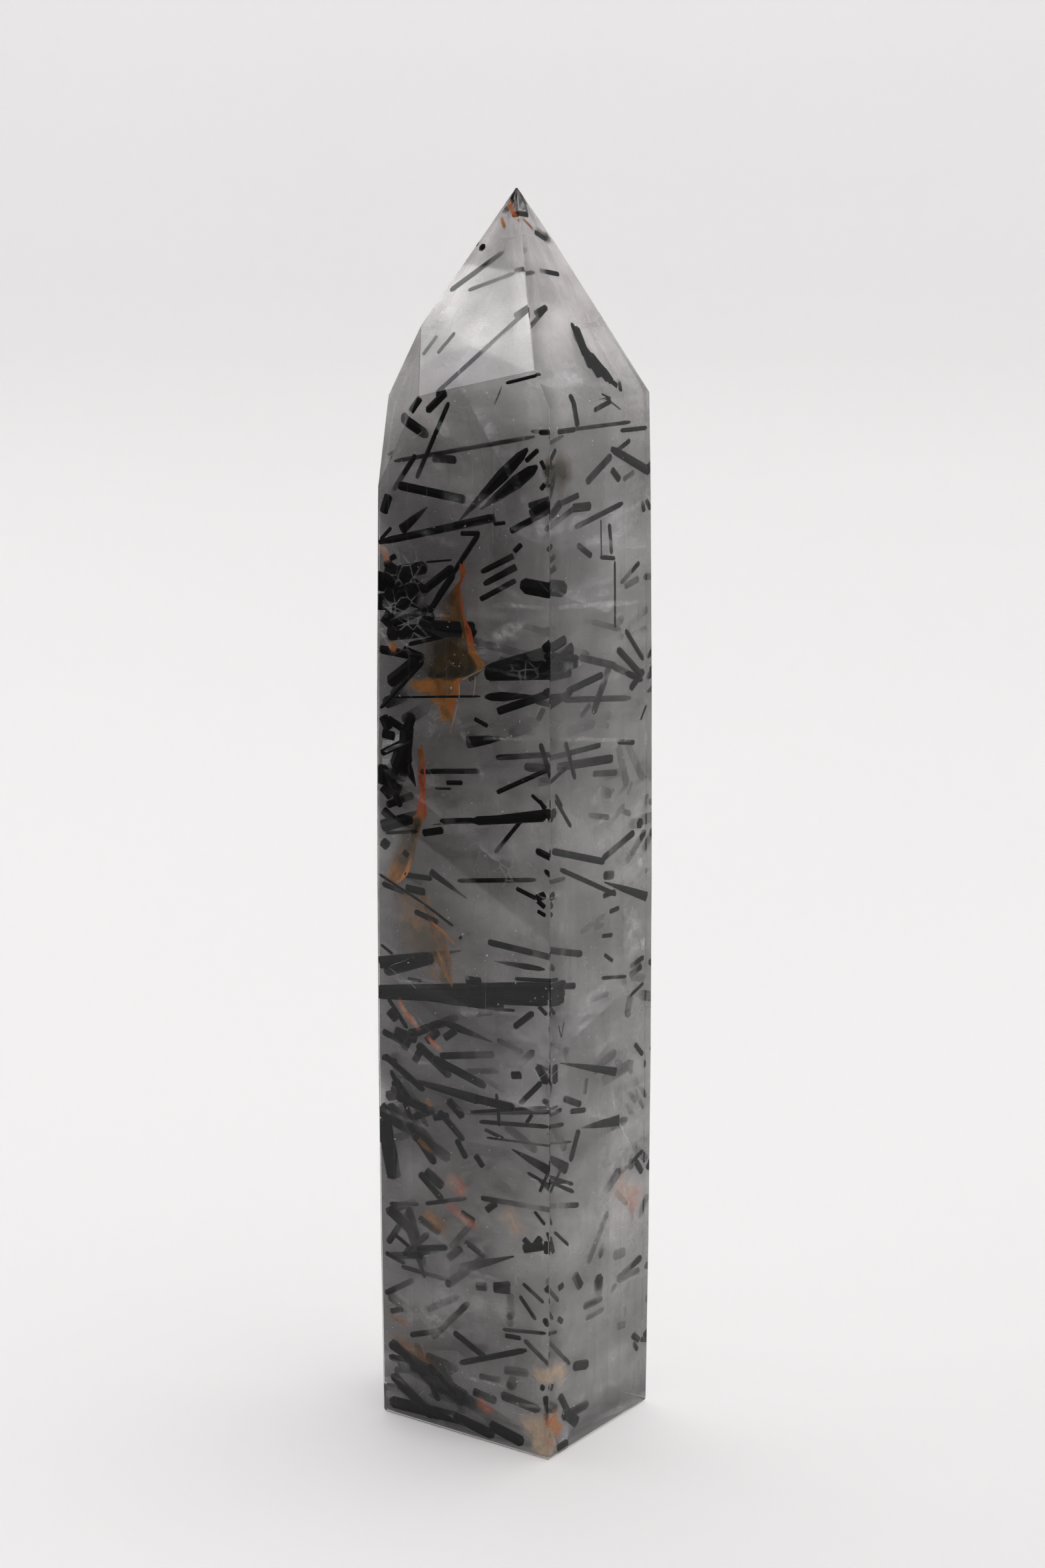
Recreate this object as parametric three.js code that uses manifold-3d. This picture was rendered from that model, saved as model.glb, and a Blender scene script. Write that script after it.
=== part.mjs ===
// A polished quartz tower with black tourmaline crystals grown through it.
// Millimetres, +Z up. The origin is in the middle of the tower's footprint, on the face it stands on.
import * as THREE from 'three';
import { ConvexGeometry } from 'three/addons/geometries/ConvexGeometry.js';
import { mergeVertices } from 'three/addons/utils/BufferGeometryUtils.js';
import Module from 'manifold-3d';

const wasm = await Module();
wasm.setup();

// Driving dimensions of the stone
const HEIGHT = 110;
const FRONT_WIDTH = 18.1;
const RIGHT_WIDTH = 15.5;
const LEFT_WIDTH = 9.5;
const LEFT_TURN = 22;
const BACK_WIDTH = 14;
const SWELL = 0.099;
const NARROWING = 0.168;
const BASE_BEVEL = 0.2;
const STATIONS = [BASE_BEVEL, 16, 33, 50, 67, 84, HEIGHT + 2];
const BLUNT_TIP = 0.12;

// The stone is parted along an upright plane that the sealed crystals cross
const PARTING_Y = -4.8;
const GAP = 0.3;
const CUTTER = 260;

// Crystals that reach a face are ground off with it, this share of the stone's width from its axis
const GROUND = 0.994;

const radians = THREE.MathUtils.degToRad;
const halfFront = FRONT_WIDTH / 2;
const halfRight = RIGHT_WIDTH / 2;

// Footprint, anticlockwise from the left front corner. The upright axis passes through x = 0, y = 0.
const leftBack = [
  -halfFront - LEFT_WIDTH * Math.sin(radians(LEFT_TURN)),
  -halfRight + LEFT_WIDTH * Math.cos(radians(LEFT_TURN)),
];
const FOOTPRINT = [
  [-halfFront, -halfRight],
  [halfFront, -halfRight],
  [halfFront, halfRight],
  [halfFront - BACK_WIDTH, halfRight],
  leftBack,
];

// How wide the stone is at a height, as a share of its footprint: it swells a little and narrows again
function share(z) {
  const t = z / HEIGHT;
  return 1 + SWELL * t - NARROWING * t * t;
}

// Facets of the point. turn is where the facet looks, in degrees from +X, and lean is how far it leans
// back from upright. Each goes through one point.
const PEAK = [0.2, 0, HEIGHT + BLUNT_TIP];
const FACETS = [
  { turn: -97.3, lean: 25.1, through: PEAK },
  { turn: 1.3, lean: 26.4, through: PEAK },
  { turn: -120.4, lean: 15.5, through: [-8.8, -7.6, 84.9] },
  { turn: 179.5, lean: 29.3, through: PEAK },
  { turn: 131, lean: 27.5, through: PEAK },
  { turn: 90, lean: 21.9, through: [8.7, 7.5, 92.5] },
  { turn: 90, lean: 26.1, through: PEAK },
];

function solidOf(geometry) {
  const bare = geometry.clone();
  bare.deleteAttribute('normal');
  bare.deleteAttribute('uv');
  const merged = mergeVertices(bare, 1e-4);
  const mesh = new wasm.Mesh({
    numProp: 3,
    vertProperties: new Float32Array(merged.attributes.position.array),
    triVerts: new Uint32Array(merged.index.array),
  });
  return new wasm.Manifold(mesh);
}

function geometryOf(solid) {
  const mesh = solid.getMesh();
  const geometry = new THREE.BufferGeometry();
  geometry.setAttribute('position', new THREE.BufferAttribute(mesh.vertProperties, 3));
  geometry.setIndex(new THREE.BufferAttribute(mesh.triVerts, 1));
  const flat = geometry.toNonIndexed();
  flat.computeVertexNormals();
  return flat;
}

// A block whose one face is the plane through a point, with the block on the side that outward points to
function blockBeyond(outward, point) {
  const block = new THREE.BoxGeometry(CUTTER, CUTTER, CUTTER);
  block.translate(0, 0, CUTTER / 2);
  const along = new THREE.Vector3(...outward).normalize();
  const turned = new THREE.Quaternion().setFromUnitVectors(new THREE.Vector3(0, 0, 1), along);
  block.applyQuaternion(turned);
  block.translate(...point);
  return solidOf(block);
}

function facetOutward({ turn, lean }) {
  const flat = Math.cos(radians(lean));
  return [Math.cos(radians(turn)) * flat, Math.sin(radians(turn)) * flat, Math.sin(radians(lean))];
}

function makeStone() {
  const corners = [];
  const foot = 1 - BASE_BEVEL / halfFront;
  for (const [x, y] of FOOTPRINT) {
    corners.push(new THREE.Vector3(x * foot, y * foot, 0));
    for (const z of STATIONS) {
      corners.push(new THREE.Vector3(x * share(z), y * share(z), z));
    }
  }
  let stone = solidOf(new ConvexGeometry(corners));
  for (const facet of FACETS) {
    stone = stone.subtract(blockBeyond(facetOutward(facet), facet.through));
  }
  return stone.subtract(blockBeyond([0, 0, 1], [0, 0, HEIGHT]));
}

// Shapes along a crystal: how far along, and how thick there as a share of its full thickness.
// Each has a pocket of fewer rings that it fits in.
const SHAPES = {
  rod: [[0, 0.72], [0.035, 1], [0.965, 1], [1, 0.7]],
  cut: [[0, 0.55], [0.12, 0.86], [1, 1]],
  spindle: [[0, 0.3], [0.1, 0.78], [0.36, 1], [0.72, 0.6], [1, 0.12]],
  wedge: [[0, 1], [0.55, 0.66], [1, 0.12]],
  stub: [[0, 0.5], [0.14, 1], [0.86, 1], [1, 0.5]],
};
const POCKETS = {
  rod: [[0, 1], [1, 1]],
  cut: [[0, 0.85], [1, 1]],
  spindle: [[0, 0.7], [0.36, 1], [1, 0.3]],
  wedge: [[0, 1], [1, 0.4]],
  stub: [[0, 1], [1, 1]],
};
const SIDES = 6;
const FLATTENED = 0.8;

// One crystal from end to end, each end given as [across, deep, high]. roll turns its section about its
// length. With room it is the pocket around the crystal.
function crystalPart({ from, to, thick, shape = 'rod', roll = 0 }, room = 0) {
  const rings = room > 0 ? POCKETS[shape] : SHAPES[shape];
  const start = new THREE.Vector3(...from);
  const end = new THREE.Vector3(...to);
  const along = end.clone().sub(start).normalize();
  start.addScaledVector(along, -room);
  end.addScaledVector(along, room);
  const level = new THREE.Vector3(-along.y, along.x, 0).normalize();
  const rise = new THREE.Vector3().crossVectors(along, level);
  const points = [];
  for (const [place, girth] of rings) {
    const centre = start.clone().lerp(end, place);
    for (let i = 0; i < SIDES; i += 1) {
      const angle = (2 * Math.PI * (i + roll)) / SIDES;
      const radius = (thick / 2) * girth + room;
      const sideways = radius * (room > 0 ? 1 : FLATTENED) * Math.cos(angle);
      const upwards = radius * Math.sin(angle);
      points.push(centre.clone().addScaledVector(level, sideways).addScaledVector(rise, upwards));
    }
  }
  return solidOf(new ConvexGeometry(points));
}

function crystalSolid(crystal, room = 0) {
  const parts = crystal.parts ?? [crystal];
  let solid = crystalPart(parts[0], room);
  for (const part of parts.slice(1)) {
    solid = solid.add(crystalPart(part, room));
  }
  return solid;
}

// The crystals, from the point of the tower down. Ends are [across, deep, high]: across runs along the
// front face, deep is -7.7 at the front face and 7.7 at the back, high is above the foot.
const CRYSTALS = [
  { name: 'high_needle', from: [4.4, -2.1, 100.5], to: [-3.2, -6.3, 93.1], thick: 0.45 },
  {
    name: 'feathered_group',
    parts: [
      { from: [7.9, 1.2, 95.2], to: [3, 1.5, 97.6], thick: 1.6, shape: 'wedge' },
      { from: [8.1, 2.6, 94.3], to: [4.7, 1.5, 96.6], thick: 1.1, shape: 'wedge' },
      { from: [8.2, 3.2, 93.7], to: [6.2, 1.6, 95], thick: 0.6, shape: 'wedge' },
    ],
  },
  { name: 'short_left_bar', from: [-6.9, -6.1, 90.9], to: [-5.3, -3.5, 89.3], thick: 1.0, shape: 'stub' },
  { name: 'steep_needle', from: [-2.2, -5.7, 92.6], to: [-6.4, -3.6, 85.6], thick: 0.45 },
  { name: 'left_slender_needle', from: [-5.6, -5.9, 87.8], to: [-8.9, -3.6, 84.2], thick: 0.5 },
  { name: 'left_upper_bar', from: [-7.3, -6.1, 85.1], to: [-1.3, -3.6, 84.3], thick: 0.85 },
  { name: 'right_flared_rod', from: [8.3, 1.9, 88.6], to: [7.9, 7.7, 85.8], thick: 0.9, shape: 'cut' },
  { name: 'upper_spindle', from: [5.9, -5.9, 89.6], to: [-2.1, -3.2, 82.4], thick: 1.15, shape: 'spindle' },
  { name: 'lower_spindle', from: [6.7, -5.5, 88.2], to: [-0.2, -2.4, 83.5], thick: 1.25, shape: 'spindle' },
  {
    name: 'left_crossed_needles',
    parts: [
      { from: [-9.2, -6.6, 80], to: [1.4, -2.8, 83], thick: 0.8, shape: 'cut' },
      { from: [-7, -6, 81.3], to: [-5.3, -3.6, 83.2], thick: 0.95, shape: 'wedge' },
    ],
  },
  { name: 'edge_needle', from: [4.2, -5.8, 82.5], to: [6.8, -2.9, 84.2], thick: 0.6 },
  { name: 'edge_rod', from: [5.7, -4.8, 84.7], to: [7.2, -2.3, 85.3], thick: 0.6 },
  { name: 'stain_needle', from: [0.9, -5.8, 81.8], to: [-4.4, -3.5, 75.4], thick: 0.5 },
  { name: 'trio_top', from: [1.1, -5.5, 78.6], to: [3.6, -3.6, 80.1], thick: 0.6, shape: 'cut' },
  { name: 'trio_middle', from: [1.6, -6.1, 77.7], to: [3.9, -3.7, 79.2], thick: 0.65, shape: 'cut' },
  { name: 'trio_bottom', from: [1.4, -6.5, 76.4], to: [4, -4, 78.1], thick: 0.5 },
  { name: 'hexagonal_stub', from: [5.6, -6.7, 78.2], to: [8.2, -4.8, 77.8], thick: 1.5, shape: 'stub' },
  {
    name: 'left_dark_bundle',
    parts: [
      { from: [-9.5, -6.5, 77.1], to: [-5.2, -4.5, 76.2], thick: 0.9 },
      { from: [-9.7, -6.2, 76.3], to: [-5.6, -4.1, 75.6], thick: 1.3, shape: 'wedge' },
      { from: [-9.7, -6.2, 74.7], to: [-6.3, -4.3, 76], thick: 1.3, shape: 'wedge', roll: 0.5 },
      { from: [-9.6, -6.4, 74.4], to: [-7.3, -4.5, 74.2], thick: 0.8, shape: 'wedge' },
      { from: [-1.6, -6.3, 78.7], to: [-6, -4.3, 75.6], thick: 0.8 },
      { from: [-1.5, -6.2, 78.1], to: [-6.3, -3.5, 72.6], thick: 0.6 },
      { from: [-8.2, -6.5, 72.9], to: [-4.6, -4.3, 74.7], thick: 0.7 },
    ],
  },
  { name: 'stained_rod', from: [-4.9, -6.4, 73.1], to: [0.1, -4.6, 73.4], thick: 1.55 },
  { name: 'left_short_rod', from: [-9.1, -6.7, 70.7], to: [-5.6, -3.9, 70.1], thick: 0.85 },
  {
    name: 'broken_splinters',
    parts: [
      { from: [1.6, -5.7, 70.3], to: [7.5, -3.6, 72.5], thick: 1.1, shape: 'cut' },
      { from: [1.7, -5.8, 70.2], to: [8, -3.8, 71.8], thick: 1.0, shape: 'cut', roll: 0.5 },
      { from: [1.8, -5.6, 69.9], to: [8.3, -3.4, 71.2], thick: 0.9, shape: 'cut' },
      { from: [1.7, -5.8, 69.7], to: [7.6, -3.9, 70.5], thick: 0.9, shape: 'cut', roll: 0.5 },
    ],
  },
  { name: 'headed_needle', from: [1.8, -6.3, 68], to: [5.5, -3.2, 68.3], thick: 0.9, shape: 'spindle' },
  {
    name: 'fading_rod',
    parts: [
      { from: [3, -6.1, 66.9], to: [7.2, -3.5, 68.7], thick: 0.75 },
      { from: [7, -4, 68.8], to: [8.7, 0.3, 69.5], thick: 0.7 },
    ],
  },
  { name: 'square_block', from: [0, -6.4, 63.8], to: [2.9, -3.6, 64.3], thick: 1.2, shape: 'wedge' },
  { name: 'first_crossing_rod', from: [3, -6.3, 62.9], to: [8.7, 0, 63.4], thick: 0.55 },
  { name: 'second_crossing_rod', from: [5.3, -4.5, 62.2], to: [8.7, 1.9, 61.8], thick: 0.85 },
  { name: 'slanting_needle', from: [3.1, -6.5, 59.9], to: [7.5, -4.4, 62.3], thick: 0.45 },
  {
    name: 'left_fibrous_mass',
    parts: [
      { from: [-5.9, -6.4, 65.3], to: [-6.7, -5.9, 63.4], thick: 1.1 },
      { from: [-6.5, -6.1, 64.1], to: [-7.2, -5.3, 60.6], thick: 1.8 },
      { from: [-9, -4.4, 58], to: [-7, -5.6, 61.8], thick: 2.2 },
      { from: [-7, -5.4, 61], to: [-5.7, -5.9, 58.9], thick: 1.1, shape: 'wedge' },
    ],
  },
  { name: 'grey_needle', from: [-5.3, -5.6, 60.3], to: [0.1, -3.4, 60.9], thick: 0.5 },
  {
    name: 'long_needle',
    parts: [
      { from: [8.6, -6.9, 59], to: [-4.9, -3.4, 55.3], thick: 0.9, shape: 'wedge' },
      { from: [5.4, -6, 57.7], to: [1.8, -3.6, 54], thick: 0.4 },
    ],
  },
  { name: 'left_upper_rod', from: [-8.5, -6.6, 56.9], to: [-6.9, -3.8, 57.7], thick: 0.7 },
  { name: 'left_lower_rod', from: [-9.2, -6.6, 55.1], to: [-6.1, -3.8, 56.2], thick: 0.75 },
  { name: 'two_headed_rod', from: [7.2, -6.3, 55.4], to: [8.7, 0.6, 52.9], thick: 0.7 },
  { name: 'long_leaning_rod', from: [7.7, -5.4, 53.6], to: [8.7, 2.4, 49.5], thick: 0.5 },
  { name: 'right_wedge', from: [8.7, 7.2, 48.1], to: [7.6, 1.3, 50.8], thick: 1.0, shape: 'wedge' },
  { name: 'left_slanting_rod', from: [-4, -6.2, 51.6], to: [-1.2, -3.6, 49.3], thick: 0.75, shape: 'wedge' },
  { name: 'middle_rod', from: [2.1, -6.3, 46.4], to: [8.4, -2.6, 45.4], thick: 0.65 },
  { name: 'middle_spindle', from: [8.1, -6.6, 45.1], to: [1.7, -3.7, 44.2], thick: 0.6, shape: 'spindle' },
  { name: 'left_wedge', from: [-9.5, -6.6, 42.4], to: [-1.8, -3.7, 44.5], thick: 1.2, shape: 'wedge' },
  {
    name: 'great_bundle',
    parts: [
      { from: [-10.1, -6.3, 39.8], to: [8, -5, 43.4], thick: 0.8 },
      { from: [-10.1, -6.2, 39.5], to: [7.9, -5.1, 42.5], thick: 1.1, roll: 0.5 },
      { from: [-10.1, -6.2, 39.3], to: [7.8, -5.1, 41.9], thick: 0.9 },
      { from: [3.3, -5.3, 40.5], to: [-6.8, -6, 39.6], thick: 0.7, shape: 'wedge' },
      { from: [6, -4.9, 42.9], to: [8.4, -3.6, 42.8], thick: 0.6, roll: 0.5 },
    ],
  },
  { name: 'cloudy_rod', from: [8.3, 2.8, 33.1], to: [6.6, -4.8, 36], thick: 0.9, shape: 'wedge' },
  { name: 'falling_rod', from: [1, -6.6, 31.9], to: [-8.4, -4.7, 31.8], thick: 1.0, shape: 'wedge' },
  { name: 'rod_below_bundle', from: [-3.1, -6.1, 38.2], to: [1.5, -3.7, 36.8], thick: 0.8, shape: 'spindle' },
  { name: 'level_rod', from: [-3.1, -6.3, 35], to: [1.7, -3.7, 35.7], thick: 0.7 },
  { name: 'low_crossing_needle', from: [-1.3, -3.7, 29.7], to: [8.2, -5.6, 32.1], thick: 0.5 },
  { name: 'low_club', from: [8.2, -4.7, 26.4], to: [4.6, -6.3, 28], thick: 1.1, shape: 'wedge' },
  { name: 'low_rod', from: [1.2, -6.1, 22.7], to: [8.4, -3, 22.5], thick: 0.55 },
  { name: 'low_wedge', from: [-4.3, -3.6, 13.8], to: [4.8, -6.4, 18.1], thick: 1.4, shape: 'wedge' },
  { name: 'right_dark_wedge', from: [8.6, 3.2, 28.5], to: [6.4, -1.4, 29], thick: 1.1, shape: 'wedge' },
  {
    name: 'left_lower_mass',
    parts: [
      { from: [-9.7, -6.1, 28.7], to: [-7.1, -4.5, 26.5], thick: 1.6, shape: 'wedge' },
      { from: [-9.6, -5.6, 27.6], to: [-8.9, -4.5, 22.1], thick: 1.8, roll: 0.5 },
    ],
  },
  {
    name: 'foot_bars',
    parts: [
      { from: [-8.5, -4.7, 4.8], to: [-0.4, -6.3, 3.1], thick: 1.7 },
      { from: [-0.9, -6.3, 3.2], to: [6.2, -4.6, 1.2], thick: 1.4, shape: 'wedge' },
    ],
  },
];

const quartzLook = new THREE.MeshStandardMaterial({
  name: 'quartz',
  color: 0x8d8c8e,
  roughness: 0.06,
  metalness: 0,
  transparent: true,
  opacity: 0.55,
});
const tourmalineLook = new THREE.MeshStandardMaterial({
  name: 'tourmaline',
  color: 0x131214,
  roughness: 0.35,
  metalness: 0,
});

function namedMesh(name, solid, look) {
  const mesh = new THREE.Mesh(geometryOf(solid), look);
  mesh.name = name;
  return mesh;
}

const tower = new THREE.Group();
const whole = makeStone();
let front = whole.subtract(blockBeyond([0, 1, 0], [0, PARTING_Y - GAP / 2, 0]));
let back = whole.subtract(blockBeyond([0, -1, 0], [0, PARTING_Y + GAP / 2, 0]));

const ground = whole.scale([GROUND, GROUND, 1]);
for (const crystal of CRYSTALS) {
  const pocket = crystalSolid(crystal, GAP);
  front = front.subtract(pocket);
  back = back.subtract(pocket);
  const solid = crystalSolid(crystal).intersect(ground);
  tower.add(namedMesh(`tourmaline_${crystal.name}`, solid, tourmalineLook));
}
tower.add(namedMesh('quartz_front', front, quartzLook));
tower.add(namedMesh('quartz_back', back, quartzLook));

// The axis stands beside the middle of the footprint, because the left side flares out
const widest = Math.max(...STATIONS.map(share));
tower.position.x = -((leftBack[0] + halfFront) * widest) / 2;

export default tower;
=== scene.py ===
# Looks of a polished quartz tower with black tourmaline crystals, iron stains and white veils in it.
# Places are given in millimetres as (across, deep, high): across runs along the front face, deep is
# negative towards the front, high is above the foot. The tower's upright axis is across 0, deep 0.
import math
import random

import bmesh
import bpy
from mathutils import Matrix, Vector, noise


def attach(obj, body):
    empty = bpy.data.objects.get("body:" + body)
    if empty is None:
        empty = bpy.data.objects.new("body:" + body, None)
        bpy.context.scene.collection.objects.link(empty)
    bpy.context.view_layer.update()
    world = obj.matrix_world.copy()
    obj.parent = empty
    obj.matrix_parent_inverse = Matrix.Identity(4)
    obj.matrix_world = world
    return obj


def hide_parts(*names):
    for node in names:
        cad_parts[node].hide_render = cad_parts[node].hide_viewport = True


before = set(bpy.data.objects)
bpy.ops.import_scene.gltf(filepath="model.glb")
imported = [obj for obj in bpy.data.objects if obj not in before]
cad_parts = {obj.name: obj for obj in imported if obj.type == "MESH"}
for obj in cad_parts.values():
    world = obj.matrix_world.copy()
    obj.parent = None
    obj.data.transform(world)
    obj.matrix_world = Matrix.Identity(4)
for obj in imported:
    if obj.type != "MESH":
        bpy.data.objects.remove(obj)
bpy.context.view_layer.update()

MM = 0.001
HEIGHT = 110
# The tower's upright axis, along the frame's own X, and the middle of its sides, across from that axis
AXIS_X = 1.8053
MIDDLE_ACROSS = 0.1

# Camera, as read from the outline of the tower in the photograph
CAMERA_AZIMUTH = math.radians(35.1)
CAMERA_PITCH = math.radians(15.6)
CAMERA_DISTANCE = 339.56
CAMERA_AIM = (0.53, 0.37, 58.53)
CAMERA_LENS = 90

# Painted light and shade in the haze, as how pale it is from the foot to the tip, by shares of the height
HAZE_PAINTED_LIGHT_BY_HEIGHT = [
    (0, 0.32), (0.02, 0.6), (0.14, 0.74), (0.32, 0.64), (0.42, 0.65), (0.5, 0.77), (0.61, 0.66),
    (0.76, 0.62), (0.83, 0.85), (0.9, 0.98), (0.95, 0.78), (1, 0.55),
]
# The same painted light and shade at the left and at the right, below the point and in it, and where these
# lie along X
HAZE_PAINTED_LIGHT_LEFT_TO_RIGHT = (0.59, 0.98)
POINT_PAINTED_LIGHT_LEFT_TO_RIGHT = (1.15, 0.84)
HAZE_SPAN = (-9, 8.5)
POINT_SPAN = (-9, 6)
# The heights over which the painted light and shade of the point take over
POINT_BEGINS = (82, 91)

scene = bpy.context.scene


def place(across, deep, high):
    return Vector((across + AXIS_X, deep, high)) * MM


def middle(high):
    return place(MIDDLE_ACROSS, 0, high)


def heading(turn, climb=0):
    """The direction at a turn from +X and a climb above the level."""
    level = math.cos(climb)
    return Vector((math.cos(turn) * level, math.sin(turn) * level, math.sin(climb)))


def all_around(count, side=Vector((1, 0, 0)), other=Vector((0, 1, 0))):
    """Directions evenly around, in the plane of two others."""
    turns = [2 * math.pi * i / count for i in range(count)]
    return [side * math.cos(turn) + other * math.sin(turn) for turn in turns]


def new_object(name, data):
    made = bpy.data.objects.new(name, data)
    scene.collection.objects.link(made)
    return made


def mesh_object(name, bm, material):
    mesh = bpy.data.meshes.new(name)
    bm.normal_update()
    bm.to_mesh(mesh)
    bm.free()
    mesh.materials.append(material)
    return new_object(name, mesh)


def seal_in(name, bm, material, smooth=True):
    """Makes a piece inside the stone, which throws no shadow of its own."""
    piece = mesh_object(name, bm, material)
    if smooth:
        piece.data.shade_smooth()
    piece.visible_shadow = False
    return piece


def new_film():
    """An empty mesh, and its layers for how much each point hides and how warm it is."""
    bm = bmesh.new()
    return bm, (bm.verts.layers.float.new("cover"), bm.verts.layers.float.new("warmth"))


# Materials

def link(source, socket):
    socket.id_data.links.new(source, socket)


def set_values(inputs, values):
    for name, value in values.items():
        inputs[name].default_value = value


def new_material(name, roughness=0.5, shine=0.5):
    material = bpy.data.materials.new(name)
    material.use_nodes = True
    nodes = material.node_tree.nodes
    surface = nodes["Principled BSDF"].inputs
    set_values(surface, {"Roughness": roughness, "Specular IOR Level": shine})
    return material, nodes, surface


def coordinates(nodes, kind="Object"):
    return nodes.new("ShaderNodeTexCoord").outputs[kind]


def stretched_noise(nodes, scale, stretch=(1, 1, 1), detail=4, roughness=0.55, turn=(0, 0, 0)):
    mapping = nodes.new("ShaderNodeMapping")
    set_values(mapping.inputs, {"Scale": stretch, "Rotation": turn})
    texture = nodes.new("ShaderNodeTexNoise")
    set_values(texture.inputs, {"Scale": scale, "Detail": detail, "Roughness": roughness})
    link(coordinates(nodes), mapping.inputs["Vector"])
    link(mapping.outputs["Vector"], texture.inputs["Vector"])
    return texture.outputs["Fac"]


def ramp(nodes, source, stops):
    made = nodes.new("ShaderNodeValToRGB")
    elements = made.color_ramp.elements
    while len(elements) < len(stops):
        elements.new(0.5)
    for element, (position, colour) in zip(elements, stops):
        element.position = position
        element.color = (*colour, 1)
    link(source, made.inputs["Fac"])
    return made.outputs["Color"]


def paint(nodes, socket, pattern, first, second):
    """A colour that goes from one tone to another with a pattern."""
    link(ramp(nodes, pattern, [(0.3, first), (0.7, second)]), socket)


def remap(nodes, source, low, high, to_low, to_high):
    made = nodes.new("ShaderNodeMapRange")
    set_values(made.inputs, {"From Min": low, "From Max": high, "To Min": to_low, "To Max": to_high})
    link(source, made.inputs["Value"])
    return made.outputs["Result"]


def change_over(nodes, part, span, values=(0, 1)):
    """A value that goes from one to another over a span of millimetres."""
    low, high = span
    return remap(nodes, part, low * MM, high * MM, *values)


def place_parts(nodes, kind="Object"):
    """The X, Y and Z of a place, each on its own."""
    split = nodes.new("ShaderNodeSeparateXYZ")
    link(coordinates(nodes, kind), split.inputs["Vector"])
    return split.outputs["X"], split.outputs["Y"], split.outputs["Z"]


def product(nodes, first, second, kind="ShaderNodeMath"):
    made = nodes.new(kind)
    made.operation = "MULTIPLY"
    link(first, made.inputs[0])
    link(second, made.inputs[1])
    return made.outputs[0]


def quartz_material():
    material, nodes, surface = new_material("clear_quartz")
    set_values(surface, {"Transmission Weight": 1, "IOR": 1.544})
    mottle = stretched_noise(nodes, 160, detail=2)
    paint(nodes, surface["Base Color"], mottle, (0.96, 0.95, 0.95), (1, 1, 1))
    link(remap(nodes, mottle, 0.3, 0.7, 0.012, 0.03), surface["Roughness"])
    absorb = nodes.new("ShaderNodeVolumeAbsorption")
    set_values(absorb.inputs, {"Color": (0.53, 0.5, 0.5, 1), "Density": 18})
    link(absorb.outputs["Volume"], nodes["Material Output"].inputs["Volume"])
    return material


def tourmaline_material():
    material, nodes, surface = new_material("black_tourmaline", roughness=0.4, shine=0.15)
    fibres = stretched_noise(nodes, 900, (0.12, 1, 1), detail=3, roughness=0.6)
    colour = ramp(nodes, fibres, [
        (0.3, (0.003, 0.003, 0.004)), (0.6, (0.008, 0.007, 0.008)), (0.8, (0.035, 0.02, 0.016)),
    ])
    link(colour, surface["Base Color"])
    bump = nodes.new("ShaderNodeBump")
    set_values(bump.inputs, {"Strength": 0.3, "Distance": 0.00005})
    link(fibres, bump.inputs["Height"])
    link(bump.outputs["Normal"], surface["Normal"])
    return material


def attribute(nodes, name):
    made = nodes.new("ShaderNodeAttribute")
    made.attribute_name = name
    return made.outputs["Fac"]


def hide_by(nodes, socket, pattern):
    """Lets a film hide by its pattern, times how much each of its points hides."""
    link(product(nodes, pattern, attribute(nodes, "cover")), socket)


def painted_light_and_shade(nodes):
    """Painted light and shade of the haze at a place: how pale it is by its height and from left to right.
    """
    x, _, z = place_parts(nodes)
    high = change_over(nodes, z, (0, HEIGHT))
    painted_by_height = ramp(nodes, high, [(at, (tone, tone, tone)) for at, tone in HAZE_PAINTED_LIGHT_BY_HEIGHT])
    across = nodes.new("ShaderNodeMix")
    link(change_over(nodes, z, POINT_BEGINS), across.inputs["Factor"])
    link(change_over(nodes, x, HAZE_SPAN, HAZE_PAINTED_LIGHT_LEFT_TO_RIGHT), across.inputs["A"])
    link(change_over(nodes, x, POINT_SPAN, POINT_PAINTED_LIGHT_LEFT_TO_RIGHT), across.inputs["B"])
    return product(nodes, painted_by_height, across.outputs["Result"])


def haze_material():
    material, nodes, surface = new_material("grey_haze", roughness=1, shine=0)
    clouds = stretched_noise(nodes, 150, (0.6, 0.6, 1.2), detail=6, roughness=0.62, turn=(0.2, -0.25, 0))
    tone = ramp(nodes, clouds, [(0.35, (0.44, 0.42, 0.42)), (0.65, (0.95, 0.93, 0.93))])
    # The haze's cloudy tone, times its painted light and shade at each place
    link(product(nodes, tone, painted_light_and_shade(nodes), "ShaderNodeVectorMath"), surface["Base Color"])
    cloudy = remap(nodes, clouds, 0.36, 0.64, 0.45, 1.45)
    hide_by(nodes, surface["Alpha"], cloudy)
    return material


# The clear body, as one solid in place of the two halves that the sealed crystals part

SAME_PLACE = 0.001
FLAT = math.radians(0.06)
EDGE_SOFTENING = 0.06
SHARP = math.radians(8)


def quartz_body():
    bm = bmesh.new()
    for name in ("quartz_front", "quartz_back"):
        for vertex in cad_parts[name].data.vertices:
            bm.verts.new(vertex.co)
    bmesh.ops.remove_doubles(bm, verts=bm.verts, dist=SAME_PLACE * MM)
    bmesh.ops.convex_hull(bm, input=bm.verts)
    bmesh.ops.delete(bm, geom=[v for v in bm.verts if not v.link_faces], context="VERTS")
    bmesh.ops.dissolve_limit(bm, angle_limit=FLAT, verts=bm.verts, edges=bm.edges)
    bmesh.ops.recalc_face_normals(bm, faces=bm.faces)
    return bm


body = quartz_body()
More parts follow.
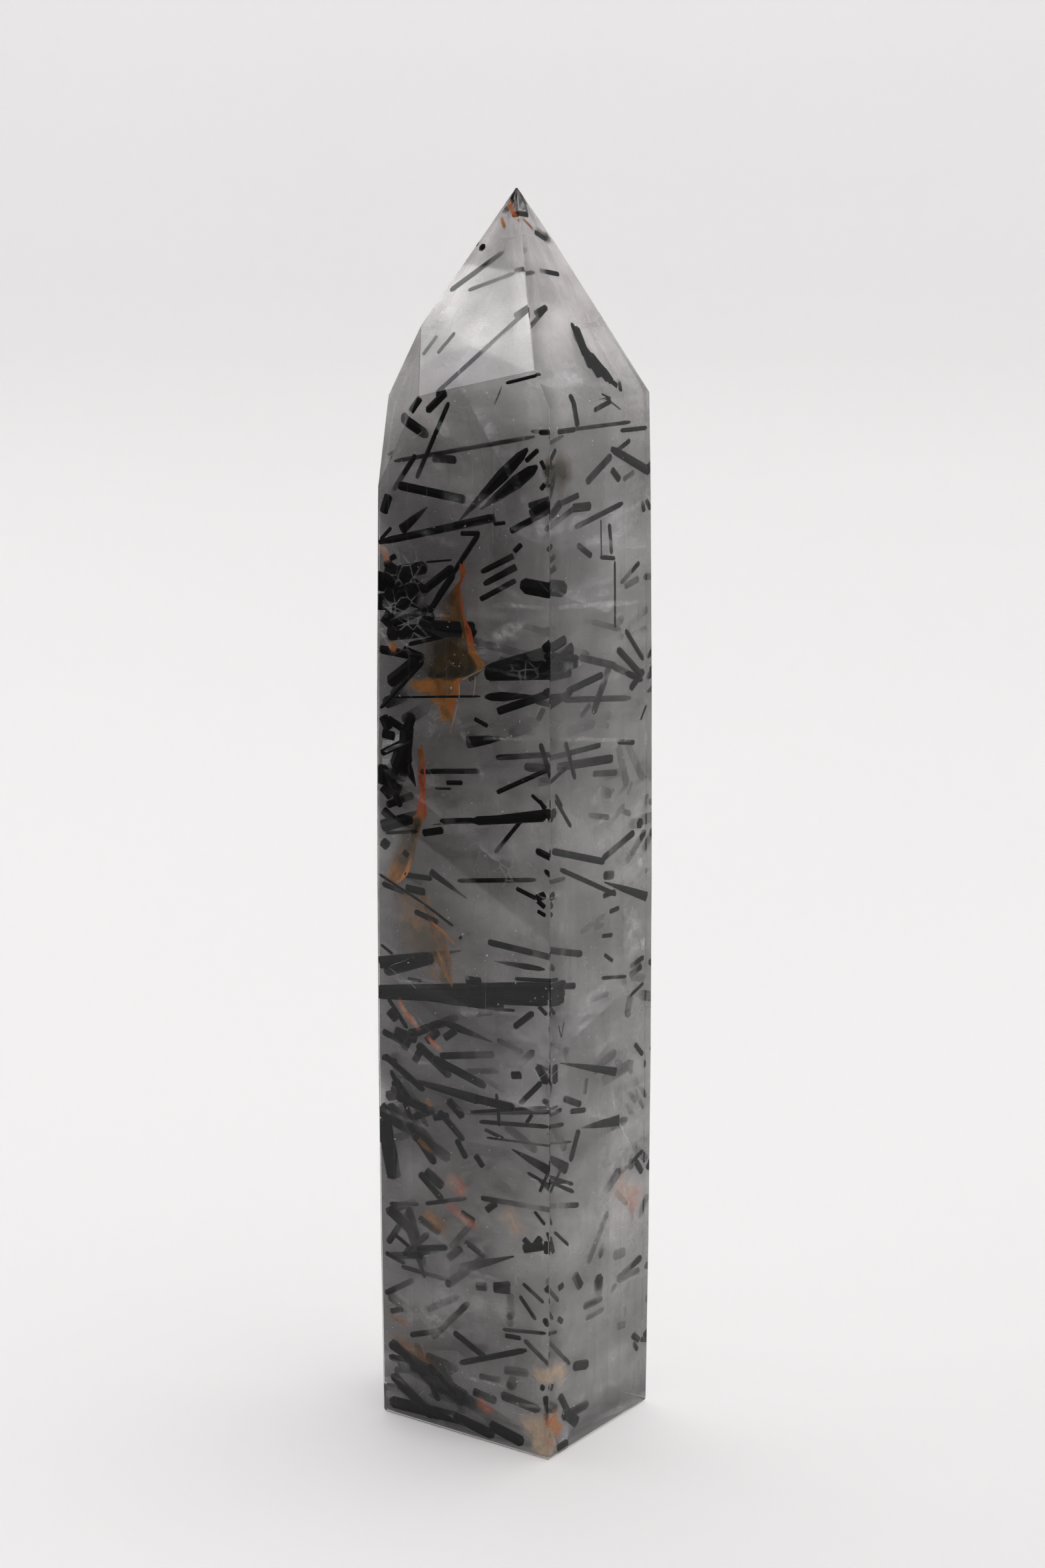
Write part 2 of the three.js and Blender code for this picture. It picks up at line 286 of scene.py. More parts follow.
# Each plane as (outward normal, distance), for finding places inside the stone
PLANES = [(face.normal.copy(), face.normal.dot(face.verts[0].co)) for face in body.faces]
sharp_edges = [edge for edge in body.edges if edge.calc_face_angle(0) > SHARP]
bmesh.ops.bevel(body, geom=sharp_edges, offset=EDGE_SOFTENING * MM, segments=1, affect="EDGES")
quartz = mesh_object("quartz", body, quartz_material())
quartz.data.shade_smooth()
quartz.data.set_sharp_from_angle(angle=SHARP)
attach(quartz, "root")
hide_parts("quartz_front", "quartz_back")
# Light passes through the clear stone to what it holds and to the sheet under it
quartz.visible_shadow = False

tourmaline = tourmaline_material()
for name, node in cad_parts.items():
    if name.startswith("tourmaline"):
        node.data.materials.clear()
        node.data.materials.append(tourmaline)


TINY = 1e-9


def reach(origin, direction, margin):
    """How far a line can run from a place inside the stone and stay margin below its surface."""
    furthest = math.inf
    for normal, distance in PLANES:
        slope = normal.dot(direction)
        if slope > TINY:
            furthest = min(furthest, (distance - margin * MM - normal.dot(origin)) / slope)
    return max(furthest, 0)


def inside(point, margin):
    """The point, or if it is nearer to the surface than margin, the place towards the axis that is not."""
    centre = middle(max(point.z / MM, margin))
    away = Vector((point.x - centre.x, point.y - centre.y, 0))
    if away.length < TINY:
        return centre
    return centre + away.normalized() * min(away.length, reach(centre, away.normalized(), margin))


# Grey haze: thin uneven layers, each with its depth under the front and right faces, its depth under the
# faces behind, and how much it hides. Upright curtains across them close the view along the corners.

HAZE_LAYERS = [
    (2.8, 0.3, 0.1), (3.4, 0.6, 0.14), (4, 0.9, 0.18), (4.7, 1.3, 0.25), (5.4, 1.8, 0.35), (6.2, 2.4, 0.45),
    (7, 3.2, 0.6),
]
# How deep the layers lie at a height, as a share of that depth
HAZE_DEPTHS = [(0, 0.42), (18, 0.54), (38, 0.94), (58, 1.15), (86, 1.12), (96, 0.66), (110, 0.42)]
HAZE_LUMPS = 0.3
HAZE_AROUND = 64
HAZE_STEP = 1.6
HAZE_FOOT = 0.25
FOOT_HIDES = 1
FOOT_RINGS = (0.02, 0.5, 1)
# The layers are as deep as under the front and right faces up to this many degrees from the corner between
# them, and come to their depth behind over the next degrees
CORNER_HEADING = -55
BEFORE_WITHIN = 95
BEHIND_AFTER = 25
# How fast the lumps of a layer follow one another around it and up it, and how they shift between layers
LUMPS_AROUND = 2
LUMPS_UP = 0.12
LUMPS_SHIFT = 7
# Each curtain starts unseen at a place within, runs along a turn from +X and ends just under the surface,
# or fades out over some millimetres before it: its turn in degrees, its start (across, deep), how much it
# hides, what it fades over and how far it waves
CURTAINS = [
    (180, (-4, deep), hides, 0, 1)
    for deep, hides in ((-5, 0.2), (-3.8, 0.45), (-2.4, 0.5), (-1, 0.5), (0.6, 0.5), (2.4, 0.5), (4.2, 0.5))
] + [
    (90, (across, 2), 0.4, 0, 1) for across in (7.6, 5.6, 3.6, 1.6)
] + [
    (0, (3, deep), 0.35, 2.5, 1) for deep in (-4.6, -3.4, -2.2, -1, 0.4, 2)
] + [
    (-68, (across, -4.4), 0.3, 0.6, 0.1) for across in (-9, -7, -5, -3, -1, 1)
] + [
    (-32, (5, deep), 0.3, 0.6, 0.1) for deep in (2, 4, 6)
]
CURTAIN_ACROSS = 12
CURTAIN_MARGIN = 0.12
CURTAIN_START_MARGIN = 1
CURTAIN_TOP = HEIGHT - 12
WAVE_PACE = 0.2
WAVE_MARGIN = 0.2
# How fast a curtain comes up from nothing at its start, and how fast its waves die down at its end
RISES_BY = 1.6
CALMS_BY = 4


def add_rows(bm, rows, closed):
    for lower, upper in zip(rows, rows[1:]):
        for i in range(len(lower) if closed else len(lower) - 1):
            j = (i + 1) % len(lower)
            bm.faces.new((lower[i], lower[j], upper[j], upper[i]))


def depth_towards(direction, before, behind):
    """The depth of a haze layer: before towards the front and right faces, and behind elsewhere."""
    away = math.degrees(math.atan2(direction.y, direction.x)) - CORNER_HEADING
    away = abs((away + 180) % 360 - 180)
    share = min(1, max(0, (away - BEFORE_WITHIN) / BEHIND_AFTER))
    return before + (behind - before) * share


def depth_share(high):
    for (low, share), (up, next_share) in zip(HAZE_DEPTHS, HAZE_DEPTHS[1:]):
        if high <= up:
            return share + (next_share - share) * (high - low) / (up - low)
    return HAZE_DEPTHS[-1][1]


def heights(top):
    """Heights from the foot to a top, about a step apart."""
    levels = int((top - HAZE_FOOT) / HAZE_STEP)
    return [HAZE_FOOT + (top - HAZE_FOOT) * level / levels for level in range(levels + 1)]


def add_haze_layer(bm, cover, before, behind, hides):
    rows = []
    for high in heights(HEIGHT - before):
        centre = middle(high)
        row = []
        for direction in all_around(HAZE_AROUND):
            around = direction * LUMPS_AROUND
            lump = noise.noise(around + Vector((0, 0, high * LUMPS_UP + before * LUMPS_SHIFT)))
            depth = depth_towards(direction, before * depth_share(high), behind)
            distance = reach(centre, direction, depth * (1 + HAZE_LUMPS * lump))
            vertex = bm.verts.new(centre + direction * distance)
            vertex[cover] = hides
            row.append(vertex)
        rows.append(row)
    add_rows(bm, rows, True)


def add_curtain(bm, cover, degrees, begins, hides, fades, waves):
    turn = math.radians(degrees)
    direction = heading(turn)
    sideways = Vector((-direction.y, direction.x, 0))
    rows = []
    for high in heights(CURTAIN_TOP):
        start = inside(place(*begins, high), CURTAIN_START_MARGIN)
        far = reach(start, direction, CURTAIN_MARGIN)
        row = []
        for i in range(CURTAIN_ACROSS + 1):
            share = i / CURTAIN_ACROSS
            point = start + direction * far * share
            beside = min(reach(point, side, WAVE_MARGIN) for side in (sideways, -sideways))
            room = min(1, CALMS_BY * (1 - share), beside / MM)
            wave = noise.noise(point / MM * WAVE_PACE + Vector((turn, 0, 0)))
            vertex = bm.verts.new(point + sideways * wave * room * waves * MM)
            fading = min(1, far * (1 - share) / MM / fades) if fades else 1
            vertex[cover] = hides * min(1, RISES_BY * share) * fading
            row.append(vertex)
        rows.append(row)
    add_rows(bm, rows, False)


def add_foot_sheet(bm, cover):
    """A level sheet of haze that closes the view down through the foot."""
    centre = middle(HAZE_FOOT)
    rows = []
    for share in FOOT_RINGS:
        row = []
        for direction in all_around(HAZE_AROUND):
            row.append(bm.verts.new(centre + direction * reach(centre, direction, CURTAIN_MARGIN) * share))
            row[-1][cover] = FOOT_HIDES
        rows.append(row)
    add_rows(bm, rows, True)


bm = bmesh.new()
cover = bm.verts.layers.float.new("cover")
add_foot_sheet(bm, cover)
for layer in HAZE_LAYERS:
    add_haze_layer(bm, cover, *layer)
for curtain in CURTAINS:
    add_curtain(bm, cover, *curtain)
haze = seal_in("grey_haze", bm, haze_material())
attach(haze, "root")


# Small crystals, read off the photograph from the point down: each from one end to the other, and how thick

SMALL_CRYSTALS = [
    # In the point
    ((0.55, -0.9, 107.8), (1.2, 0.3, 107.7), 0.5), ((1.6, 0.3, 106.3), (2.1, 1.5, 105.6), 0.5),
    ((4.2, -7, 95), (7.4, -6.9, 95.9), 0.3), ((7.7, 0.9, 95.3), (5.2, 0.9, 98.6), 0.9),
    ((7.9, 2.9, 94.1), (6.4, 1.3, 96.3), 1.1), ((7.2, 0.4, 96.4), (5, 0.6, 98.9), 0.5),
    ((8.1, 3.6, 93.2), (6.8, 4.6, 93.6), 0.45), ((-3.3, -0.4, 104.5), (-2.1, -1.2, 104.9), 0.6),
    ((-4.6, -2.8, 101.2), (-0.2, -0.2, 104.3), 0.55), ((-2.7, -2.1, 101.2), (1.5, -0.9, 102.7), 0.4),
    ((1.1, 0.2, 102.6), (3.1, 1.5, 102.7), 0.5), ((2.7, -2.8, 99.5), (4.3, -2, 100.5), 0.55),
    ((-5.6, -5, 96), (-4.8, -3.7, 97.4), 0.4), ((-4, -5.1, 96.3), (-3, -3.6, 97.8), 0.4),
    # Under the point
    ((-2, -6.9, 93.6), (-4.3, -6, 91.7), 0.65), ((-4.6, -6.9, 92.8), (-5.8, -6.3, 91.5), 0.5),
    ((2.8, -6.6, 83), (3.8, -6.1, 83.2), 0.35), ((-8.9, -6.8, 80.3), (-8.2, -5.8, 81.3), 0.35),
    ((-0.6, -6.6, 81.8), (1, -5.6, 81.9), 0.45), ((6.8, -5.1, 91), (8, -3.2, 91), 0.45),
    ((8.1, -3.7, 93.8), (7.3, -2.5, 91.1), 0.6), ((6.7, 0.3, 92), (7.9, 2.1, 92.6), 0.45),
    ((7.9, 0.9, 93.2), (6.9, 4.2, 91.5), 0.2), ((7.2, 3.2, 88.1), (8.2, 4.8, 88.9), 0.45),
    ((5.6, -0.2, 85.9), (7.2, 2.6, 87.9), 0.7), ((7.8, 2.2, 86.8), (8.2, 3.2, 85.7), 0.65),
    ((8, 3.5, 89.9), (8.4, 7.2, 89.6), 0.4), ((6.3, -2.3, 82.5), (8.3, 3.6, 83.7), 0.5),
    ((8.1, 0.4, 82.8), (8.1, 0.5, 79.4), 0.18), ((7.9, 1.8, 82.2), (7.5, 2.4, 79.5), 0.45),
    ((8, 0.4, 79.6), (8, 2.6, 79.1), 0.4), ((8.1, 2.5, 78.9), (8.2, 2.5, 73.1), 0.28),
    ((8.1, 6.3, 78.1), (6.4, 4.5, 76.5), 0.45), ((-8.6, -3.9, 86.8), (5.7, -3.6, 90.4), 0.4),
    ((5.4, -3.6, 90.8), (7.9, 5, 90.4), 0.35), ((-1.2, -6.8, 78.3), (-5.2, -6.1, 73), 0.6),
    ((5.6, -5.5, 88.5), (6.8, -5.4, 89.6), 0.45), ((-7, -6.5, 72.3), (-6.3, -6.3, 73.1), 0.5),
    ((-7.9, -7, 78.7), (-7.3, -6.8, 79.1), 0.5), ((-4.2, -6.6, 78.9), (-1.6, -6.4, 79.4), 0.2),
    ((-2, -5, 82.1), (1.7, -4, 83.2), 0.7), ((-9.4, -6.4, 82.5), (-8.5, -5.6, 84.1), 0.9),
    ((7.6, -6.7, 88.9), (8, -6.7, 88.2), 0.4), ((7.6, -6.7, 86.5), (8, -6.7, 87), 0.45),
    ((6.1, -5.6, 84.1), (7.9, -5.4, 85.2), 0.8), ((4.3, -5.1, 80.7), (5, -5, 81.4), 0.5),
    ((0, -5.9, 73.7), (0.7, -5.9, 73.3), 0.6), ((-9.3, -6.8, 73.5), (-7.9, -6.5, 72.8), 0.8),
    ((6.4, 4.9, 85.4), (6.4, 6.5, 85.8), 0.5), ((6.4, 5.1, 76.1), (7.4, 8.4, 76.4), 0.6),
    ((7.9, 7.1, 82.4), (7.9, 8, 83.2), 0.5), ((-9.1, -6.7, 77.2), (-4.4, -6, 78.4), 1.2),
    ((-9.4, -6.5, 75.5), (-4.8, -5.7, 75.2), 1.3), ((-8.5, -6.5, 73.6), (-4.5, -5.7, 76.6), 1),
    ((-7.1, -6.3, 77), (-3.9, -5.5, 73.8), 0.9), ((8.6, -7.4, 73.2), (8.6, -5.1, 73.6), 0.9),
    ((8.6, -7.4, 72.6), (8.6, -3.3, 71.6), 0.7), ((8.7, -7.4, 72), (8.7, -4.3, 72.7), 0.6),
    ((1.8, -6.3, 70), (7.9, -5.3, 71.4), 1.2), ((1.9, -6.2, 69.8), (8, -5.2, 70.7), 0.9),
    ((8.2, -6.9, 58.6), (0.5, -6.2, 56.9), 0.85), ((0.6, -6.2, 57), (-3.2, -5.6, 56.2), 0.5),
    # Middle
    ((-6.2, -6.5, 63.1), (-8.4, -6.2, 58.5), 0.8), ((-8.8, -6.5, 60.3), (-7.2, -6.2, 56.9), 0.7),
    ((-9.1, -6.5, 56.4), (-7.5, -6, 55.2), 0.9), ((-9.4, -6.5, 58.4), (-8.2, -6.3, 57.6), 0.8),
    ((-9.7, -7.2, 54.8), (-5.6, -7.2, 56.2), 0.9), ((6.6, -4, 64.4), (7.5, -3.1, 61), 0.5),
    ((7.6, 3.3, 62.9), (8.3, 5.5, 62.4), 0.5), ((8.4, 4, 72.6), (7.4, 7.4, 69.3), 0.5),
    ((8.4, 2.8, 71.2), (7.8, 6.9, 68), 0.72), ((1, -7.1, 66.1), (2.3, -6.8, 65.6), 0.45),
    ((-2, -7, 60), (-0.6, -6.2, 60.1), 0.45), ((-3.6, -6, 59.1), (-2, -5.8, 59.3), 0.25),
    ((-9, -6.9, 65.5), (-4.8, -5.9, 70.1), 0.4), ((-8, -5.9, 66.5), (1.3, -6.3, 68), 0.22),
    ((6, -4, 68), (5.8, 6.4, 66), 0.55), ((-4.5, -7, 55.1), (-2.4, -6.9, 55.7), 0.7),
    ((7.3, -5.9, 59.8), (8.3, -4.2, 57.1), 0.4), ((7.1, 1.6, 51.3), (7.1, 3, 51), 0.8),
    ((7.5, -7.2, 51.4), (8.1, -6.5, 51.7), 0.7), ((7.6, -7.2, 51.2), (8.3, -7, 50.7), 0.5),
    ((7.6, -7.2, 50.3), (8.4, -7.1, 50), 0.4), ((4.9, -5.8, 51.6), (7.3, -6.8, 51.3), 0.45),
    ((-1.7, -4.8, 51), (6.1, -3.8, 52.3), 0.45), ((-6.9, -6, 50.8), (-3.9, -6.2, 51), 0.55),
    ((-5.4, -7.1, 47.9), (-3.3, -6, 47.1), 0.6), ((8.5, 5.4, 54.4), (6.6, 1.5, 52.7), 0.65),
    ((7.6, 1.1, 49.6), (8.3, 2.6, 49.7), 0.5), ((8.4, 1.7, 48.1), (8, 3.3, 48), 0.45),
    ((8.4, 0.5, 46.2), (8.4, 2.1, 45.9), 0.4), ((8.4, 0.9, 44.4), (8, 2.4, 43.4), 0.4),
    ((8.4, 0.5, 42.4), (7.6, 4.8, 41.3), 0.35), ((6.7, 5.9, 41), (7.7, 7.2, 41.7), 0.7),
    ((7.2, 5.2, 39.1), (8.2, 7.2, 40.1), 0.35), ((-6.1, -6.5, 71.5), (-2.4, -5.9, 72.7), 0.4),
    ((-6.9, -6.1, 70.9), (-5.1, -5.5, 70.4), 0.8), ((-5.4, -6.1, 70.1), (-8.7, -5.3, 67.6), 1.2),
    ((-9.4, -6.6, 64.8), (-8.4, -6.2, 63.6), 1), ((-8.5, -6.3, 64.6), (-6.9, -5.6, 63.7), 0.8),
    ((-9.4, -6.6, 63.2), (-7.8, -6.2, 63.1), 0.9), ((-9.2, -6.4, 61.4), (-7.1, -5.8, 62.6), 0.65),
    ((-9.5, -6.6, 60.4), (-9.4, -6.4, 58.6), 1), ((-8.6, -6.8, 54.4), (-5.6, -5.8, 54.9), 0.35),
    ((6.2, -5.2, 60), (7.7, -5.2, 59.1), 0.35), ((-9.5, -6.8, 53.5), (-8.5, -6.6, 53.2), 1),
    ((-6.9, -6.4, 53), (-6.4, -6.2, 52.6), 0.6), ((-6.7, -6.3, 49.7), (-4.7, -6, 49.6), 0.8),
    ((-9.3, -7.2, 50.6), (-4.7, -6.3, 48.6), 0.28), ((-4.7, -6.3, 48.6), (-1.9, -5.6, 47), 0.3),
    ((-0.8, -6.6, 46.4), (-0.6, -6.6, 46.2), 0.4), ((-9.1, -7.1, 44.2), (-7.9, -6.9, 43.5), 0.3),
    ((-10, -5.9, 41.5), (-4.3, -4.9, 43.6), 1.2), ((-0.2, -6.4, 42.5), (1, -5.4, 42.4), 0.9),
    ((5.1, -6.7, 43.7), (8.8, -6.5, 44.2), 0.4), ((6.6, 3.2, 69.5), (8, 8.1, 67.5), 0.65),
    ((8.7, 6.2, 64.3), (8.6, 7.1, 65.4), 0.25), ((6, -1.5, 71.2), (6, 4.1, 69.3), 0.7),
    # Lower part
    ((7.7, -7.1, 41.8), (8.4, -6.7, 41.1), 0.4), ((4.8, -6.1, 39.2), (7.1, -7.1, 41.1), 0.6),
    ((-2.3, -7.1, 36.9), (-1.2, -6.7, 37.8), 0.75), ((7.2, -5.9, 36.1), (8.4, -6.6, 34.9), 0.8),
    ((4.9, -7.2, 35), (5.9, -7.1, 35.2), 0.75), ((5.3, -5.9, 32.3), (8, -7.1, 35), 0.55),
    ((0.1, -5.9, 30.4), (8.2, -6.1, 32.6), 0.35), ((1, -5.9, 29.7), (8, -5.1, 30.6), 0.45),
    ((3, -6.4, 32.8), (3.2, -6.1, 29.8), 0.35), ((8.4, -3, 29.5), (7.8, -3.9, 26.8), 0.65),
    ((6.6, -7.1, 26.4), (8.4, -3.8, 24.7), 0.35), ((7.8, -7, 24.9), (8.2, -5.5, 26.7), 0.35),
    ((1.9, -6.3, 28.5), (7.6, -3.6, 28.5), 0.25), ((-1.9, -7.1, 31.3), (-0.7, -6.1, 29.8), 0.8),
    ((-1, -7.1, 27.8), (-0.3, -6.3, 26.1), 0.6), ((1, -7.1, 26.8), (1.7, -6.7, 25.8), 0.6),
    ((6.8, 4.5, 22.9), (8.4, 7.2, 24.4), 0.45), ((7.3, -7.1, 23), (8.4, -7.1, 22), 0.35),
    ((8.5, -6.7, 21.2), (8.2, -4.4, 19.2), 0.35), ((6.1, -7, 19.2), (8.2, -7.1, 20), 0.9),
    ((5.7, -7, 14.7), (7, -6, 12.6), 0.4), ((3.5, -6, 10.8), (8.1, -6.1, 11.6), 0.4),
    ((4, -6.8, 10.5), (5.5, -6.2, 10.5), 0.5), ((5.8, -6, 10.4), (8.1, -4, 7.8), 0.45),
    ((-6.3, -7, 8), (-3, -6, 9.1), 0.6), ((-1.5, -7, 9.5), (1.7, -6, 7.6), 0.65),
    ((-1.2, -6, 6.4), (6.3, -6.8, 9.7), 0.6), ((-8.6, -6.4, 3.5), (-3.9, -6.8, 0.6), 1),
    ((6.9, 4, 12.9), (8.3, 7.2, 14.2), 0.7), ((8.3, -3.4, 7.4), (7.5, -0.9, 6.6), 0.95),
    ((8.1, -5, 3.1), (7.1, -0.5, 2.6), 0.9), ((2.6, -6.3, 14.8), (4.3, -6, 15.3), 0.65),
    ((-6.6, -6.1, 41.4), (-5.2, -5.9, 41.4), 0.35), ((3.5, -6.1, 40.5), (4.8, -6.1, 40.7), 0.3),
    ((-8.8, -5.9, 38), (-7.9, -5.9, 37.3), 0.9), ((-9.7, -6.3, 36), (-6.9, -5.5, 35.1), 0.7),
    ((-8.1, -6.1, 36.3), (-5.9, -5.5, 35.8), 1), ((-7.1, -6.1, 34.8), (-6.2, -5.7, 36.7), 0.9),
    ((-6, -5.9, 33.8), (-5.2, -5.7, 35.4), 0.8), ((-4.6, -6.1, 36), (-3.4, -5.9, 37.2), 0.9),
    ((-5.7, -5.9, 35.5), (-2.5, -4.9, 33), 0.9), ((-8.3, -6.5, 31.5), (-7.1, -6.3, 31.2), 0.5),
    ((-7.9, -6.4, 30.3), (-7, -6.2, 30.1), 0.7), ((-9.9, -5.5, 33.4), (-8.1, -5.5, 33.3), 0.6),
    ((-6.1, -5.9, 28.6), (-4.5, -5.7, 29.4), 0.7), ((-4, -5.9, 29), (-2.4, -5.7, 29.5), 0.7),
    ((-5, -5.7, 23.8), (-3.2, -5.3, 22.6), 1), ((1, -6.5, 31.9), (4.8, -6.1, 31.8), 0.9),
    ((6.2, -6.5, 30.8), (6.8, -6.5, 31.7), 0.4), ((1.4, -5.5, 29), (3.4, -5.5, 28.6), 0.4),
    ((-6.8, -5.9, 19.9), (-5.6, -4.8, 14.4), 0.9), ((-5.7, -5.8, 19.2), (-3.6, -5.2, 18.1), 0.8),
    ((-9, -6, 19.4), (-6.6, -5.4, 17.7), 1.2), ((-0.8, -6.5, 21), (0.6, -6.3, 20.4), 0.55),
    ((2, -6.7, 21.8), (3, -6.5, 22.7), 0.7), ((-2.6, -5.6, 16), (-1.2, -5.4, 17.3), 0.8),
    ((-0.8, -5.4, 18), (1.4, -5.2, 16.9), 0.6), ((-9.8, -5.8, 11), (-6.6, -5, 12.9), 0.6),
    ((-8.7, -6.4, 9.6), (-7.4, -6.2, 10.1), 0.6), ((0.5, -5.6, 14.1), (1.6, -5.6, 14.3), 0.9),
    ((2.5, -6, 14.5), (4.2, -5.8, 14.7), 1), ((4, -5.2, 14.2), (3.9, -5, 11), 0.8),
    ((5.8, -6.4, 15.8), (7.7, -5.6, 14.3), 0.4), ((0.3, -6.2, 4.1), (2.7, -5.8, 3.7), 0.9),
    ((3.3, -6, 4.5), (7.3, -5.6, 4), 1), ((0.7, -5.4, 5.5), (2.9, -5.4, 5.7), 0.7),
    ((3.4, -5.4, 6.8), (5.9, -5.2, 7.1), 0.9), ((-9.2, -6.4, 0.5), (-0.7, -6.2, 1.1), 1.3),
    ((-1.6, -6.8, 1.3), (2.8, -6.8, 0.5), 1.1), ((2.2, -6.4, 1.4), (5.8, -6.4, -0.2), 1.2),
    ((7.9, -6.8, 6.6), (8.1, -6.6, 6.5), 0.6), ((6.1, -7, 20.2), (7, -7, 19.5), 0.6),
    ((7, -6.9, 19.4), (7.9, -7, 20.7), 0.7), ((8.6, -7.3, 20.5), (8.4, -6.8, 19.3), 0.5),
    ((8.4, -6.1, 39.9), (8.4, -5.7, 38.7), 0.12), ((8.4, -5.3, 40), (8.4, -5.7, 38.7), 0.12),
    ((7.4, -4.7, 32.8), (7.6, -2.2, 31.5), 0.65), ((7.8, -3.9, 31.4), (8, -1.7, 30.9), 0.5),
    ((6.2, -0.5, 33.3), (6.2, -0.8, 31.9), 0.5), ((8, 6.3, 23.6), (8, 7.6, 22.2), 0.7),
    ((7.8, 6.1, 34.7), (8.1, 7.2, 33.4), 0.5), ((8.2, -7.8, 26.2), (8.2, -3.6, 23.9), 0.4),
    ((8.2, -7.2, 25.9), (8.2, -4.7, 25.2), 0.3), ((6.9, 3.6, 15.4), (6.9, 5.3, 15.2), 1),
    ((7.3, 4.1, 12.9), (8.3, 8.2, 12.8), 0.7), ((7.3, -2.9, 15.8), (7.3, -1.9, 14.3), 1),
    ((7.1, -1.3, 12.2), (7.1, 1.6, 12), 0.7), ((8.1, -5.8, 15.6), (8.1, -5.1, 15.7), 0.6),
    ((7.9, -5.7, 12.7), (7.9, -5.1, 12.2), 0.6), ((7.1, -0.9, 10.9), (6.9, 2, 10.8), 0.5),
    ((6.7, 4.3, 8.3), (6.7, 5.6, 8.1), 0.8), ((7.9, -5.4, 5.3), (7.7, -4, 3.1), 0.8),
    ((7.9, -4.8, 3.5), (7.9, -2.7, 1.7), 1.2), ((8.4, -6, 0.2), (8.3, -4.4, -0.2), 0.8),
    ((8.1, 6.1, 6.9), (8.3, 8.2, 6), 0.7),
]

# Crowds of crystals that are too many or too dim to read one by one: how many, the middle of the crowd and
# its spread, the way they run seen from above, from +X, and how steeply they rise, both in degrees, and how
# long and how thick they are
CROWDS = [
    # From the left side inwards and down
    (18, (-9.5, -2, 69), (1.2, 2.5, 6), 35, 15, (1.5, 5), (0.6, 1.5)),
    (14, (-9, -2, 52), (1, 2.5, 5), 35, -15, (1.5, 5), (0.5, 1.2)),
    (16, (-7, -2, 31), (2, 2, 5), 20, -25, (2, 6), (0.6, 1.3)),
    (10, (-3, -2.5, 34), (4, 1.2, 5), 15, -12, (2, 6), (0.5, 0.9)),
    (9, (-5, -2.5, 21), (3.5, 1.2, 4), 20, 25, (2, 7), (0.5, 1)),
    (12, (-2, -2.5, 7), (5, 1.5, 4), 10, -25, (3, 7), (0.5, 1.1)),
    (10, (5, 0, 12), (1.5, 4, 6), 75, 25, (1.5, 5), (0.5, 1.1)),
    (12, (0, -2, 72), (4, 1, 18), 20, 12, (2, 6), (0.5, 0.9)),
    (10, (5, 2, 60), (1, 3.5, 22), 80, 5, (1.5, 5), (0.5, 0.9)),
    (90, (-3, 4, 48), (5, 2, 27), 10, 8, (2.5, 9), (0.5, 1.2)),
    # Just under the front face
    (12, (-6, -6, 27), (2.8, 0.5, 7), 10, -32, (3, 7), (0.4, 0.9)),
    (12, (-5, -5.8, 16), (2.6, 0.5, 3), 10, 20, (3, 7), (0.4, 0.8)),
    (16, (-4, -6, 3.4), (3.4, 0.5, 1.6), 5, -22, (3, 8), (0.5, 1.1)),
    (12, (-7.5, -6.3, 76), (1.4, 0.3, 2), 10, 15, (3, 6), (0.7, 1.3)),
    # Under the faces at the back
    (90, (2, 6.9, 48), (4, 0.5, 27), 0, 10, (2, 7), (0.4, 1.1)),
    (50, (-8, 3.6, 48), (1.2, 1.2, 27), 40, 10, (2, 6), (0.4, 1.1)),
]
# How far, in degrees, a crystal strays from its crowd's way, and how many times longer than thick it is
JITTER = 22
LEAST_SLENDER = 3
# Each ring of a crystal: how far along it lies, and its share of the thickness
CRYSTAL_RINGS = [(0, 0.55), (0.05, 1), (0.93, 1), (1, 0.5)]
CRYSTAL_SIDES = 6
# How far under the surface the crystals of a crowd stay, and the small ones read one by one
UNDER_SURFACE = 0.25
SURFACE_ROOM = 0.08


def add_crystal(bm, start, end, thick):
    along = (end - start).normalized()
    level = along.orthogonal().normalized()
    rise = along.cross(level)
    rings = []
    for share, girth in CRYSTAL_RINGS:
        centre = start.lerp(end, share)
        radius = thick / 2 * girth * MM
        rings.append([bm.verts.new(centre + out * radius) for out in all_around(CRYSTAL_SIDES, level, rise)])
    add_rows(bm, rings, True)
    bm.faces.new(reversed(rings[0]))
    bm.faces.new(rings[-1])


def add_crowd(bm, dice, count, crowd_middle, spread, mean_turn, mean_climb, long, thickness):
    for _ in range(count):
        centre = place(*[dice.gauss(m, s) for m, s in zip(crowd_middle, spread)])
        turn = math.radians(mean_turn + dice.gauss(0, JITTER))
        climb = math.radians(mean_climb + dice.gauss(0, JITTER))
        along = heading(turn, climb)
        thick = dice.uniform(*thickness)
        half = dice.uniform(*long) / 2 * MM
        ahead = min(half, reach(centre, along, UNDER_SURFACE + thick / 2))
        behind = min(half, reach(centre, -along, UNDER_SURFACE + thick / 2))
        if ahead > 0 and behind > 0 and ahead + behind > LEAST_SLENDER * thick * MM:
            add_crystal(bm, centre - along * behind, centre + along * ahead, thick)


dice = random.Random(12)
bm = bmesh.new()
for start, end, thick in SMALL_CRYSTALS:
    room = SURFACE_ROOM + thick / 2
    add_crystal(bm, inside(place(*start), room), inside(place(*end), room), thick)
small_crystals = seal_in("small_crystals", bm, tourmaline, smooth=False)
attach(small_crystals, "root")

bm = bmesh.new()
for crowd in CROWDS:
    add_crowd(bm, dice, *crowd)
crowded_crystals = seal_in("crowded_crystals", bm, tourmaline, smooth=False)
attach(crowded_crystals, "root")


